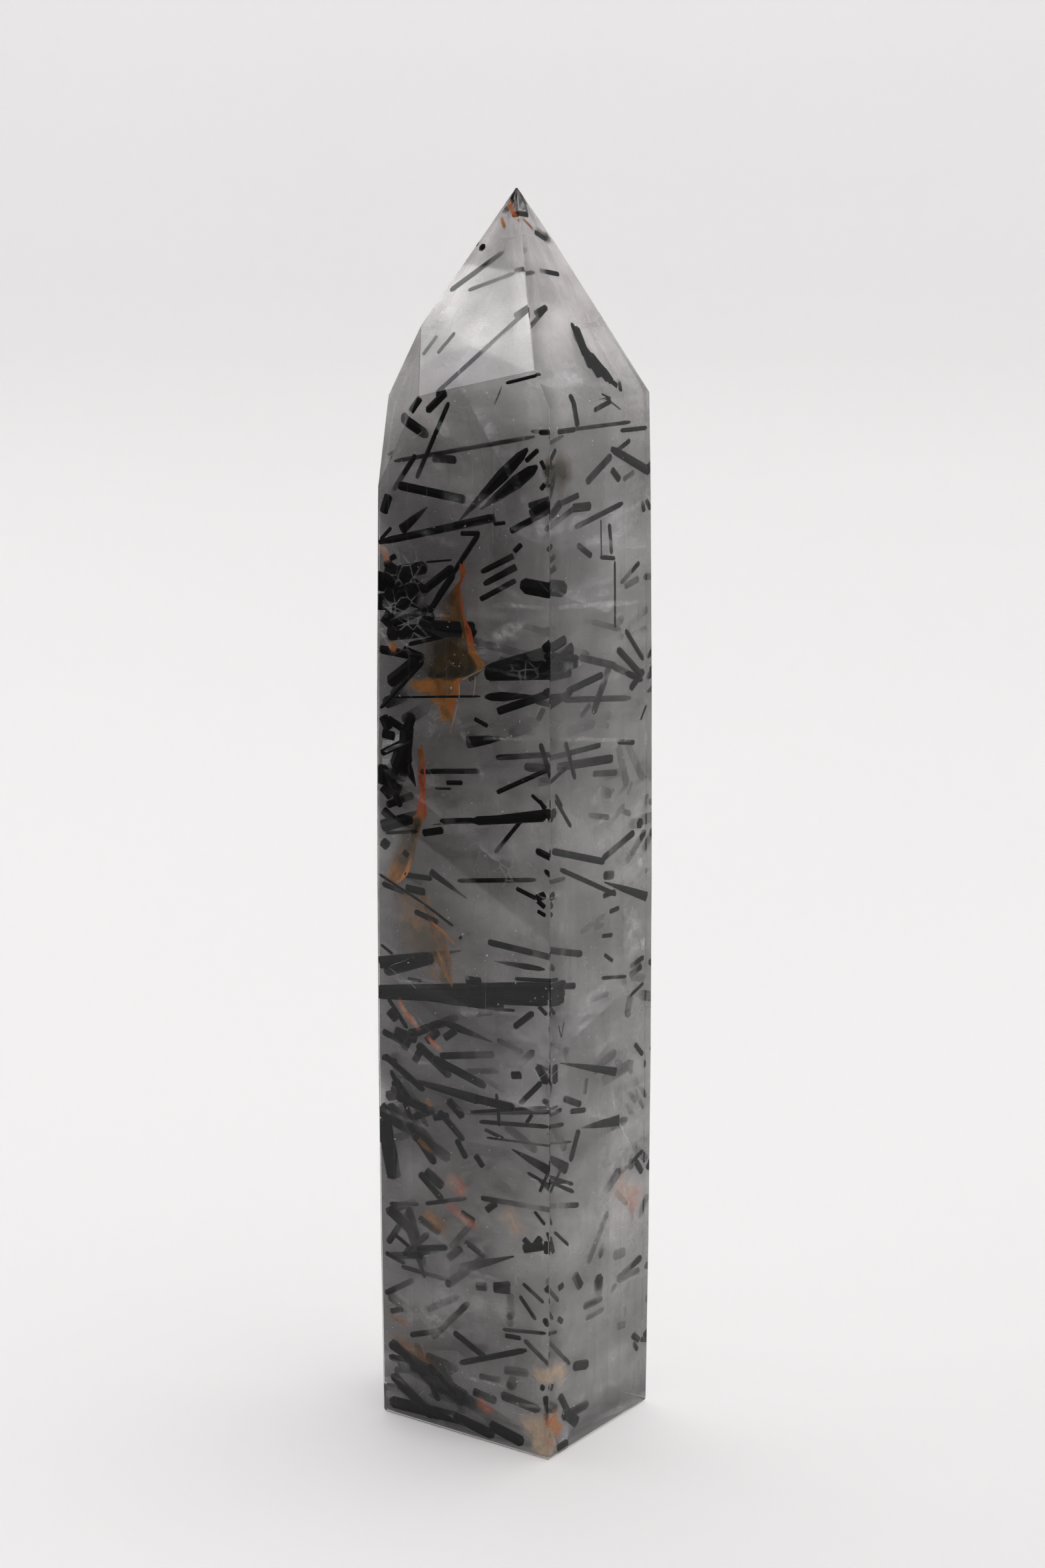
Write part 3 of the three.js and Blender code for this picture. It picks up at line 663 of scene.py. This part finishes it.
# Iron stain: a thin film along a crack near the left of the front face. Each row runs between two places,
# with how warm its colour is inside and along its right rim, from dark brown at 0 to cream at 1.

STAIN_FILMS = [[
    ((-0.8, -6.6, 79.2), (-0.3, -6.6, 79.3), 0.7, 0.72), ((-0.8, -6.6, 78.2), (-0.1, -6.6, 78.3), 0.7, 0.75),
    ((-1.6, -6.5, 77.1), (-0.5, -6.7, 77.3), 0.62, 0.75), ((-2.6, -5.9, 76), (-0.4, -6.7, 76.1), 0.46, 0.78),
    ((-3.6, -5.5, 74.1), (-0.1, -6.7, 74.7), 0.44, 0.8), ((-4.8, -5.1, 72.5), (0.5, -6.7, 73.4), 0.36, 0.8),
    ((-6.2, -4.9, 70.8), (0.9, -6.7, 72), 0.3, 0.6), ((-6.6, -5.1, 69.3), (2, -6.7, 70.7), 0.26, 0.5),
    ((-6.7, -5.3, 68.6), (1.1, -6.5, 70), 0.1, 0.3), ((-6.6, -5.5, 68.1), (-0.9, -6.1, 69.1), 0.5, 0.6),
    ((-5.4, -5.5, 67.1), (-1, -6.1, 67.9), 0.5, 0.6), ((-3.5, -5.7, 66.3), (-1.3, -6.1, 67), 0.56, 0.6),
    ((-3.2, -5.8, 65), (-1.8, -6.2, 65.3), 0.54, 0.6),
], [
    ((-5.2, -6.6, 62.6), (-4.7, -6.8, 62.7), 0.66, 0.75),
    ((-5.2, -6.4, 61.4), (-4.3, -6.8, 61.6), 0.66, 0.75),
    ((-5.5, -6.4, 59.9), (-4.2, -6.8, 60.2), 0.7, 0.85),
    ((-5.3, -6.4, 58.4), (-4.2, -6.8, 58.7), 0.78, 0.85), ((-5.7, -6.2, 56.6), (-4.3, -6.6, 56.9), 0.7, 0.8),
    ((-7.6, -5.8, 55.3), (-4.9, -6.4, 55.8), 0.3, 0.42),
    ((-7.9, -5.6, 53.7), (-5.4, -6.4, 54.2), 0.28, 0.42),
    ((-8.7, -5.6, 51.8), (-5.9, -6.4, 52.4), 0.36, 0.42),
    ((-8.8, -6.2, 50.6), (-6.4, -6.4, 51.1), 0.46, 0.6), ((-8.8, -6.4, 49.7), (-7.2, -6.6, 50.1), 0.5, 0.6),
], [
    ((-8.5, -5.6, 48.7), (-4.7, -5.9, 49.5), 0.42, 0.46),
    ((-8.1, -5.6, 46.4), (-3.4, -6.4, 47.4), 0.44, 0.48),
    ((-7.9, -5.5, 43.9), (-2.4, -6.5, 46.1), 0.4, 0.48), ((-6, -5.6, 42.5), (-1.6, -6.6, 44.1), 0.4, 0.46),
    ((-3.6, -5.9, 41.2), (-1.6, -6.5, 41.8), 0.4, 0.46),
]]
# Smaller patches: from one place to another, how wide and how warm
STAIN_PATCHES = [
    ((-0.3, -0.4, 108.9), (0.9, -1, 107.5), 0.6, 0.6), ((0.9, -0.9, 107.6), (1.7, 0.3, 106.4), 0.6, 0.57),
    ((1.8, 0.1, 106.6), (2.3, 2.2, 105.4), 1.1, 0.02), ((0, -0.1, 109.8), (0.2, -0.7, 108.2), 1, 0.02),
    ((0.3, 0.1, 109.7), (0.9, 0.4, 108.2), 1, 0.02), ((-9.2, -6.7, 79.6), (-8.4, -6.6, 78.3), 1.2, 0.54),
    ((-1, -1.2, 107.6), (0.2, -1.6, 106.6), 0.5, 0.5), ((3.9, -7.1, 94.8), (3, -7.2, 93), 0.2, 0.3),
    ((7.9, -6.3, 89.3), (7.9, -4.4, 86.2), 2.8, 0.16), ((-4.2, -6.8, 47.6), (-1, -6.8, 45.5), 0.35, 0.62),
    ((-3.3, -6.7, 45), (-1.5, -6.9, 41.7), 0.5, 0.5), ((-7.4, -6.6, 39.6), (-6.6, -6.6, 38), 0.4, 0.66),
    ((8.2, -7.3, 8.7), (8.4, -7.3, 7), 2.2, 1.1), ((8.6, -7.1, 8.9), (8.6, -5, 6.8), 2, 1.1),
    ((7.1, -7.4, 4.2), (8.5, -7.4, -0.6), 2.8, 1), ((8.7, -7.3, 4.4), (8.7, -5.7, 1.7), 1.6, 0.6),
    ((8.7, -7.5, 3.4), (8.7, -6.6, 0.4), 1.4, 1.05), ((-8.9, -7.3, 80), (-8.2, -7.3, 78.3), 1.4, 0.97),
    ((-9.4, -6.9, 74.4), (-9.1, -6.9, 74), 0.5, 1.1), ((-8.2, -6.8, 71.3), (-7.2, -6.8, 70.9), 0.8, 0.62),
    ((2.2, -7.4, 70.7), (-0.4, -7.4, 69.2), 0.14, 0.97),
    ((-0.4, -7.4, 69.2), (-0.5, -7.4, 67.5), 0.14, 0.97),
    ((-0.5, -7.4, 67.5), (-1.5, -7.4, 64.2), 0.13, 0.97), ((1.3, -7.4, 70), (1, -7.4, 67.9), 0.12, 0.97),
    ((-6, -7.1, 68.2), (-2.7, -7.1, 68.4), 1.2, 0.52), ((-2.7, -7.1, 67), (-1.2, -7.2, 65.3), 1.1, 0.5),
    ((-7.3, -7.3, 39.4), (-4.7, -7.3, 37.1), 0.7, 0.92), ((-4.1, -7.3, 36.9), (-2.5, -7.3, 35.5), 0.7, 0.9),
]
# Fainter ones, low in the stone
FAINT_PATCHES = [
    ((-6.6, -6.6, 38), (-5.2, -6.6, 37), 0.4, 0.66), ((-4, -6.7, 36.2), (-2.8, -6.7, 35.8), 0.6, 0.6),
    ((-4.6, -6.7, 30.7), (-3.7, -6.7, 30.2), 0.7, 0.56), ((-6.1, -6.5, 27.2), (-3.7, -6.5, 25.8), 0.6, 0.52),
    ((-2.2, -7.2, 24.2), (0.2, -7.2, 22.9), 2.2, 0.88), ((3.8, -7.1, 22.6), (6.1, -7.1, 20.5), 2.4, 0.97),
    ((-4.9, -6.9, 20.4), (-2, -6.8, 18.7), 1.6, 0.5), ((-8.9, -7, 7.4), (-3.4, -6.9, 5.8), 2.6, 0.5),
    ((-8.9, -7, 9.5), (-6.2, -6.9, 8.7), 1.6, 0.54), ((0.9, -7.2, 3.5), (3.1, -7.2, 3.1), 1.1, 0.7),
    ((8.6, 2.5, 22.8), (8.6, 6.8, 19.6), 2.6, 0.95), ((-2.4, -6.9, 21.5), (1.4, -6.9, 19.9), 1.2, 0.88),
]
FAINT_HIDES = 0.6
# How much each of the three films hides
STAIN_HIDES = (1, 1.1, 0.7)
# Within its right rim the film lies deeper, along the line of sight, and how fast it comes to that depth
STAIN_DIP = Vector((-0.48, 1.2, -0.23))
DIPS_BY = 4
STAIN_ACROSS = 24
RIM_FROM = 0.9
# How solid the film is at its left rim, and how fast it grows solid from there
FILM_LEFT = 0.15
FILM_GROWS = 2.4
# How fast the film's ripples follow one another and how far they go, in depth and in height
RIPPLES_IN_DEPTH = (0.5, 0.5)
RIPPLES_IN_HEIGHT = (1.1, 0.6)
PATCH_ALONG = 10
PATCH_MARGIN = 0.15
# How solid a patch is from one side to the other
PATCH_SIDES = (0.1, 0.8, 1, 0.8, 0.1)
# How fast it grows solid from its ends, and how fast and, as a share of its width, how far it wavers
PATCH_GROWS = 4
PATCH_PACE = 0.9
PATCH_WAVERS = 0.3


def ripple(point, pace, far):
    return noise.noise(point / MM * pace) * far * MM


def film_point(bm, layers, point, values):
    """A point of a film, kept inside the stone: how much it hides and how warm it is."""
    vertex = bm.verts.new(inside(point, PATCH_MARGIN))
    for layer, value in zip(layers, values):
        vertex[layer] = value
    return vertex


def add_film(bm, layers, rows, hides):
    made = []
    for left, right, within, rim in rows:
        start, end = place(*left), place(*right)
        row = []
        for i in range(STAIN_ACROSS + 1):
            share = i / STAIN_ACROSS
            point = start.lerp(end, share) + STAIN_DIP * min(1, DIPS_BY * (1 - share)) * MM
            point.y += ripple(point, *RIPPLES_IN_DEPTH)
            point.z += ripple(point, *RIPPLES_IN_HEIGHT)
            solid = min(1, FILM_LEFT + FILM_GROWS * share)
            warm = rim if share > RIM_FROM else within
            row.append(film_point(bm, layers, point, (solid * hides, warm)))
        made.append(row)
    add_rows(bm, made, False)


def add_patch(bm, layers, start, end, wide, warm=0, hides=1):
    start, end = place(*start), place(*end)
    along = (end - start).normalized()
    facing = min(PLANES, key=lambda plane: plane[1] - plane[0].dot(start))[0]
    across = facing.cross(along).normalized()
    made = []
    for j, solid in enumerate(PATCH_SIDES):
        sideways = j / (len(PATCH_SIDES) - 1) - 0.5
        row = []
        for i in range(PATCH_ALONG + 1):
            share = i / PATCH_ALONG
            point = start.lerp(end, share) + across * sideways * wide * MM
            point += across * ripple(point, PATCH_PACE, PATCH_WAVERS * wide)
            ends = min(1, PATCH_GROWS * min(share, 1 - share))
            row.append(film_point(bm, layers, point, (ends * solid * hides, warm)))
        made.append(row)
    add_rows(bm, made, False)


def stain_material():
    material, nodes, surface = new_material("iron_stain", 0.8)
    patches = stretched_noise(nodes, 500, detail=5, roughness=0.65)
    change = remap(nodes, patches, 0.3, 0.7, -0.12, 0.12)
    warmth = nodes.new("ShaderNodeMath")
    link(change, warmth.inputs[0])
    link(attribute(nodes, "warmth"), warmth.inputs[1])
    colour = ramp(nodes, warmth.outputs["Value"], [
        (0, (0.015, 0.012, 0.010)), (0.2, (0.06, 0.045, 0.02)), (0.38, (0.15, 0.095, 0.035)),
        (0.55, (0.56, 0.25, 0.06)), (0.7, (0.64, 0.17, 0.045)), (0.84, (0.72, 0.14, 0.07)),
        (0.93, (0.62, 0.40, 0.30)), (1, (0.66, 0.52, 0.38)),
    ])
    link(colour, surface["Base Color"])
    gaps = stretched_noise(nodes, 600, detail=4, roughness=0.7, turn=(0.4, 0.2, 0))
    solid = remap(nodes, gaps, 0.34, 0.46, 0.6, 0.97)
    hide_by(nodes, surface["Alpha"], solid)
    return material


bm, layers = new_film()
for rows, hides in zip(STAIN_FILMS, STAIN_HIDES):
    add_film(bm, layers, rows, hides)
for patch in STAIN_PATCHES:
    add_patch(bm, layers, *patch)
for patch in FAINT_PATCHES:
    add_patch(bm, layers, *patch, FAINT_HIDES)
stain = seal_in("iron_stain", bm, stain_material())
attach(stain, "root")


# White veils: old healed cracks, as thin wavy sheets right across the stone

VEIL_COUNT = 14
VEIL_RINGS = 10
VEIL_AROUND = 64
VEIL_MARGIN = 0.5
VEILS_FROM = 6
VEILS_OVER = 94
# How steeply a veil faces up, in degrees, and how far its middle lies from the axis
VEIL_CLIMB = (70, 28)
VEIL_SHIFT = (-2, 2)
# How far and how fast a veil waves, how its waves differ from the next one's and how fast they calm down
VEIL_WAVE = 1.3
VEIL_PACE = 0.16
VEILS_DIFFER = 9
VEIL_CALMS_BY = 3


def add_veil(bm, centre, facing, seed):
    side = facing.orthogonal().normalized()
    other = facing.cross(side)
    rings = []
    for ring in range(1, VEIL_RINGS + 1):
        share = ring / VEIL_RINGS
        made = []
        for direction in all_around(VEIL_AROUND, side, other):
            point = centre + direction * reach(centre, direction, VEIL_MARGIN) * share
            wave = noise.noise(point / MM * VEIL_PACE + Vector((0, 0, seed * VEILS_DIFFER)))
            room = min(1, VEIL_CALMS_BY * (1 - share))
            made.append(bm.verts.new(point + facing * wave * VEIL_WAVE * room * MM))
        rings.append(made)
    add_rows(bm, rings, True)
    bm.faces.new(rings[0])


def veil_material():
    material, nodes, surface = new_material("white_veil", roughness=1, shine=0)
    streaks = stretched_noise(nodes, 420, (0.22, 0.22, 1.5), detail=6, roughness=0.7, turn=(0.1, 0.12, 0))
    patches = stretched_noise(nodes, 130, detail=3)
    paint(nodes, surface["Base Color"], patches, (0.5, 0.5, 0.52), (0.75, 0.75, 0.77))
    fine = remap(nodes, streaks, 0.5, 0.72, 0.04, 0.75)
    broad = remap(nodes, patches, 0.42, 0.62, 0.15, 1)
    link(product(nodes, fine, broad), surface["Alpha"])
    return material


dice = random.Random(5)
bm = bmesh.new()
for i in range(VEIL_COUNT):
    high = VEILS_FROM + VEILS_OVER * (i + dice.uniform(0.2, 0.8)) / VEIL_COUNT
    climb = math.radians(dice.uniform(*VEIL_CLIMB))
    turn = math.radians(dice.uniform(0, 360))
    add_veil(bm, place(dice.uniform(*VEIL_SHIFT), dice.uniform(*VEIL_SHIFT), high), heading(turn, climb), i)
veils = seal_in("white_veils", bm, veil_material())
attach(veils, "root")


# White specks and threads: small flaws near the surface

# How high specks and threads lie, and how deep under the surface
FLAWS_HIGH = (2, 100)
SPECKS_DEEP = (0.3, 2.2)
THREADS_DEEP = (0.4, 2)
SPECKS = 1400
SPECK_SIZE = (0.05, 0.15)
THREADS = 60
THREAD_STEPS = 9
THREAD_STEP = (0.3, 0.9)
THREAD_WIDE = 0.05
THREAD_CLIMB = 0.25
THREAD_BENDS = 0.22
THREAD_MARGIN = 0.3
# White wisps and clouds: from one place to another, how wide and how white
WISPS = [
    ((1.8, -7, 64.5), (7.6, -7, 65.3), 0.35, 0.6), ((-1.3, -6.9, 66.3), (1.2, -7, 62.5), 0.8, 0.3),
    ((1.2, -7, 62.5), (1.9, -7, 60.9), 0.6, 0.3), ((2.6, -6.9, 73.4), (5.6, -6.9, 73.8), 0.8, 0.45),
    ((-9.2, -6.9, 72.1), (-6.9, -6.9, 72.4), 1, 0.5), ((8.3, 7.2, 64), (8.3, 7.2, 61), 0.9, 0.8),
    ((8.3, 6.4, 52.7), (8.3, 6.4, 50.9), 1.1, 0.8), ((8.4, 6.9, 44.4), (8.4, 6.9, 43.2), 0.8, 0.8),
    ((8.4, 2.1, 31.8), (8.4, 2.8, 29.1), 0.25, 0.8), ((8.4, 2.8, 29.1), (8.4, 5.8, 24.5), 0.25, 0.8),
    ((0.1, -7.1, 42.8), (0.5, -7.1, 42.9), 0.4, 1), ((8.2, -6.6, 65.4), (8.3, 6.5, 62.3), 0.4, 0.5),
    ((7.6, -1.8, 22.8), (7.5, 6.4, 15.6), 5, 0.4), ((7.5, 5.3, 51.2), (7.6, 6.1, 41.9), 3, 0.6),
    ((8.5, 2, 27), (8.5, 4.5, 19), 5, 0.4), ((-8.5, -7.1, 10.6), (-1, -7.1, 9.6), 3.5, 0.35),
    ((-4, -7.2, 13), (2.5, -7.2, 12.4), 2.5, 0.3), ((2.7, -7.3, 76.3), (8.4, -7.3, 76.7), 0.5, 0.5),
    ((8.5, -7.1, 76.7), (8.6, 7.4, 74.5), 0.5, 0.5), ((2.7, -7.2, 73.2), (7.1, -7.2, 75.2), 1.6, 0.5),
    ((-9.2, -7.1, 72.7), (-7.4, -7.1, 70.3), 1.3, 0.7),
]
# Level clouds scattered over the front and right faces: how many, how long, how wide and how white
CLOUDS = 46
CLOUD_LONG = (1.5, 7)
CLOUD_WIDE = (0.3, 1.3)
CLOUD_WHITE = (0.12, 0.42)
CLOUDS_HIGH = (3, 88)
CLOUD_TILT = 0.5
# Where their middles lie along each of the two faces, and how they lie across it
FRONT_CLOUDS = (-8, 7)
FRONT_DEEP = -6.9
RIGHT_CLOUDS = (-6, 7)
RIGHT_ACROSS = 8.2


def flaw_material():
    material, nodes, surface = new_material("white_flaw", 0.7)
    grain = stretched_noise(nodes, 900, detail=2)
    paint(nodes, surface["Base Color"], grain, (0.45, 0.45, 0.46), (0.8, 0.8, 0.8))
    link(remap(nodes, grain, 0.35, 0.65, 0.15, 0.75), surface["Alpha"])
    return material


def wisp_material():
    material, nodes, surface = new_material("white_wisp", roughness=1, shine=0)
    grain = stretched_noise(nodes, 1200, detail=4)
    paint(nodes, surface["Base Color"], grain, (0.6, 0.6, 0.6), (0.85, 0.84, 0.83))
    hide_by(nodes, surface["Alpha"], remap(nodes, grain, 0.4, 0.62, 0.2, 1))
    return material


def near_surface(dice, depths):
    """A random place that lies between two depths under one of the upright faces."""
    centre = middle(dice.uniform(*FLAWS_HIGH))
    direction = heading(dice.uniform(0, 2 * math.pi))
    return centre + direction * reach(centre, direction, dice.uniform(*depths))


def add_speck(bm, dice, point):
    size = dice.uniform(*SPECK_SIZE) * MM
    strays = [Vector([dice.uniform(-size, size) for _ in range(3)]) for _ in range(4)]
    corners = [bm.verts.new(point + stray) for stray in strays]
    for face in ((0, 1, 2), (0, 3, 1), (1, 3, 2), (2, 3, 0)):
        bm.faces.new([corners[i] for i in face])


def add_thread(bm, dice, point):
    along = Vector((dice.uniform(-1, 1), dice.uniform(-1, 1), dice.gauss(0, THREAD_CLIMB))).normalized()
    wide = Vector((0, 0, THREAD_WIDE * MM))
    rows = []
    for _ in range(THREAD_STEPS):
        rows.append([bm.verts.new(point + wide * side) for side in (-0.5, 0.5)])
        along = (along + Vector([dice.gauss(0, THREAD_BENDS) for _ in range(3)])).normalized()
        step = min(dice.uniform(*THREAD_STEP) * MM, reach(point, along, THREAD_MARGIN))
        if step < THREAD_WIDE * MM:
            break
        point = point + along * step
    add_rows(bm, rows, False)


dice = random.Random(31)
bm = bmesh.new()
for _ in range(SPECKS):
    add_speck(bm, dice, near_surface(dice, SPECKS_DEEP))
for _ in range(THREADS):
    add_thread(bm, dice, near_surface(dice, THREADS_DEEP))
flaws = seal_in("white_flaws", bm, flaw_material(), smooth=False)
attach(flaws, "root")


# Fine white crackle: from one place to another, how wide and how white

CRACKLES = [
    ((-6.2, -7.1, 80.8), (-6.4, -7.1, 70), 5, 0.8), ((2.4, -7.2, 54.2), (7.8, -7.2, 51.3), 3.5, 0.6),
    ((4.3, -7.1, 70.5), (7.9, -7.1, 71.4), 2, 0.5), ((-2.5, -7.2, 68), (-4, -7.2, 57), 2.5, 0.5),
]


def crackle_material():
    material, nodes, surface = new_material("white_crackle", roughness=1, shine=0)
    cells = nodes.new("ShaderNodeTexVoronoi")
    cells.feature = "DISTANCE_TO_EDGE"
    cells.inputs["Scale"].default_value = 850
    link(coordinates(nodes), cells.inputs["Vector"])
    lines = remap(nodes, cells.outputs["Distance"], 0.01, 0.07, 0.65, 0)
    gaps = stretched_noise(nodes, 500, detail=3)
    paint(nodes, surface["Base Color"], gaps, (0.4, 0.4, 0.4), (0.7, 0.7, 0.69))
    unbroken = remap(nodes, gaps, 0.38, 0.5, 0, 1)
    hide_by(nodes, surface["Alpha"], product(nodes, lines, unbroken))
    return material


bm, layers = new_film()
for start, end, wide, white in CRACKLES:
    add_patch(bm, layers, start, end, wide, hides=white)
crackle = seal_in("white_crackle", bm, crackle_material(), smooth=False)
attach(crackle, "root")


def add_cloud(bm, layers, dice, in_front):
    """A level cloud somewhere under the front face or under the right one."""
    high = dice.uniform(*CLOUDS_HIGH)
    rise = dice.gauss(0, CLOUD_TILT)
    half = dice.uniform(*CLOUD_LONG) / 2
    if in_front:
        along = dice.uniform(*FRONT_CLOUDS)
        ends = ((along - half, FRONT_DEEP, high - rise), (along + half, FRONT_DEEP, high + rise))
    else:
        along = dice.uniform(*RIGHT_CLOUDS)
        ends = ((RIGHT_ACROSS, along - half, high - rise), (RIGHT_ACROSS, along + half, high + rise))
    add_patch(bm, layers, *ends, dice.uniform(*CLOUD_WIDE), hides=dice.uniform(*CLOUD_WHITE))


bm, layers = new_film()
for start, end, wide, white in WISPS:
    add_patch(bm, layers, start, end, wide, hides=white)
dice = random.Random(44)
for i in range(CLOUDS):
    add_cloud(bm, layers, dice, i % 2 == 0)
wisps = seal_in("white_wisps", bm, wisp_material())
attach(wisps, "root")


# Stage: a pale sheet that rises behind the tower, soft light from above and a window at the left

SHEET_FRONT = -65
SHEET_BACK = 900
SHEET_RISE = 900
SHEET_BEND = 400
BEND_STEPS = 12
SHEET_HALF = 1500
# Painted light and shade on the sheet, lighter upwards and darker to the right: over which millimetres, and
# from what share to what
SHEET_PAINTED_LIGHT_UPWARDS = ((5, 90), (1, 1.15))
SHEET_PAINTED_SHADE_TO_RIGHT = ((0, 80), (1, 0.95))


def make_sheet():
    material, nodes, surface = new_material("pale_sheet", 0.9)
    grain = stretched_noise(nodes, 3, detail=2)
    tone = ramp(nodes, grain, [(0.3, (0.81, 0.8, 0.8)), (0.7, (0.83, 0.82, 0.82))])
    x, _, z = place_parts(nodes)
    # The sheet's grain tone, times its painted light and shade
    shade = product(nodes, change_over(nodes, z, *SHEET_PAINTED_LIGHT_UPWARDS), change_over(nodes, x, *SHEET_PAINTED_SHADE_TO_RIGHT))
    link(product(nodes, tone, shade, "ShaderNodeVectorMath"), surface["Base Color"])
    profile = [(SHEET_FRONT, 0), (SHEET_BACK - SHEET_BEND, 0)]
    for i in range(1, BEND_STEPS + 1):
        angle = math.pi / 2 * i / BEND_STEPS
        profile.append((SHEET_BACK - SHEET_BEND * (1 - math.sin(angle)), SHEET_BEND * (1 - math.cos(angle))))
    profile.append((SHEET_BACK, SHEET_RISE))
    bm = bmesh.new()
    side = heading(CAMERA_AZIMUTH)
    away = heading(CAMERA_AZIMUTH + math.pi / 2)
    rows = []
    for distance, high in profile:
        point = away * distance + Vector((0, 0, high))
        rows.append([bm.verts.new((point + side * edge) * MM) for edge in (-SHEET_HALF, SHEET_HALF)])
    add_rows(bm, rows, False)
    made = mesh_object("pale_sheet", bm, material)
    made.data.shade_smooth()


def square_light(name, size, radiance):
    data = bpy.data.lights.new(name, "AREA")
    data.shape = "SQUARE"
    data.size = size
    data.energy = radiance * math.pi * size * size
    return new_object(name, data)


# A soft light straight above, a little behind the tower: where it is, in metres, and how large
ABOVE = (-0.09, 0.22, 1)
ABOVE_SIZE = 2.4
ABOVE_RADIANCE = 1

# The window's upper edge as its mirror image shows it: a place on it, and the way it runs
WINDOW_EDGE = Vector((-1112, -727, 805)) * MM
WINDOW_ALONG = Vector((0.786, -0.524, 0.327))
WINDOW_FACES = (0, 0, 100)
WINDOW_SIZE = 0.32
WINDOW_RADIANCE = 4.3


def window_light():
    """A bright window whose mirror image fills the lower part of the point's front facet."""
    outward = (WINDOW_EDGE - place(*WINDOW_FACES)).normalized()
    along = (WINDOW_ALONG - outward * WINDOW_ALONG.dot(outward)).normalized()
    up = outward.cross(along)
    turned = Matrix((along, up, outward)).transposed().to_4x4()
    window = square_light("window", WINDOW_SIZE, WINDOW_RADIANCE)
    window.matrix_world = Matrix.Translation(WINDOW_EDGE - up * WINDOW_SIZE / 2) @ turned


# A dim wall beside the window, that the lower left of the same facet mirrors: its corners
WALL_CORNERS = [
    (-1134, -742, 754), (-1129, -742, 760), (-1125, -743, 766), (-1115, -747, 774), (-1092, -767, 777),
    (-1075, -777, 735), (-1133, -757, 715),
]
# The wall is this share of the way from the facet to those corners, so that it is before the window
FACET_MIDDLE = (-1, -3, 100)
WALL_NEARER = 0.985
WALL_RADIANCE = 2.1


def dim_wall():
    material, nodes, surface = new_material("dim_wall")
    grain = stretched_noise(nodes, 12, detail=2)
    paint(nodes, surface["Emission Color"], grain, (0.94, 0.92, 1), (1, 0.98, 1))
    surface["Emission Strength"].default_value = WALL_RADIANCE
    bm = bmesh.new()
    facet = place(*FACET_MIDDLE)
    corners = [bm.verts.new(facet.lerp(Vector(corner) * MM, WALL_NEARER)) for corner in WALL_CORNERS]
    bm.faces.new(corners)
    wall = mesh_object("dim_wall", bm, material)
    wall.visible_camera = False
    wall.visible_diffuse = False


make_sheet()
window_light()
dim_wall()
square_light("soft_light_above", ABOVE_SIZE, ABOVE_RADIANCE).location = ABOVE


def make_room():
    """Pale behind the tower and dim on the camera's side."""
    world = bpy.data.worlds.new("room")
    world.use_nodes = True
    nodes = world.node_tree.nodes
    _, y, _ = place_parts(nodes, "Generated")
    tones = [(0.25, (0.12, 0.12, 0.12)), (0.6, (0.78, 0.77, 0.77))]
    link(ramp(nodes, remap(nodes, y, -1, 1, 0, 1), tones), nodes["Background"].inputs["Color"])
    scene.world = world


make_room()

camera_data = bpy.data.cameras.new("camera")
camera_data.lens = CAMERA_LENS
camera_data.sensor_fit = "VERTICAL"
camera_data.sensor_height = 36
camera_data.clip_start = 0.01
camera = new_object("camera", camera_data)
towards = heading(CAMERA_AZIMUTH - math.pi / 2, CAMERA_PITCH)
camera.location = place(*CAMERA_AIM) + towards * CAMERA_DISTANCE * MM
camera.rotation_euler = (math.pi / 2 - CAMERA_PITCH, 0, CAMERA_AZIMUTH)
scene.camera = camera

scene.view_settings.view_transform = "Standard"
scene.view_settings.gamma = 0.8
scene.cycles.transparent_max_bounces = 48
scene.cycles.transmission_bounces = 12
scene.cycles.max_bounces = 14
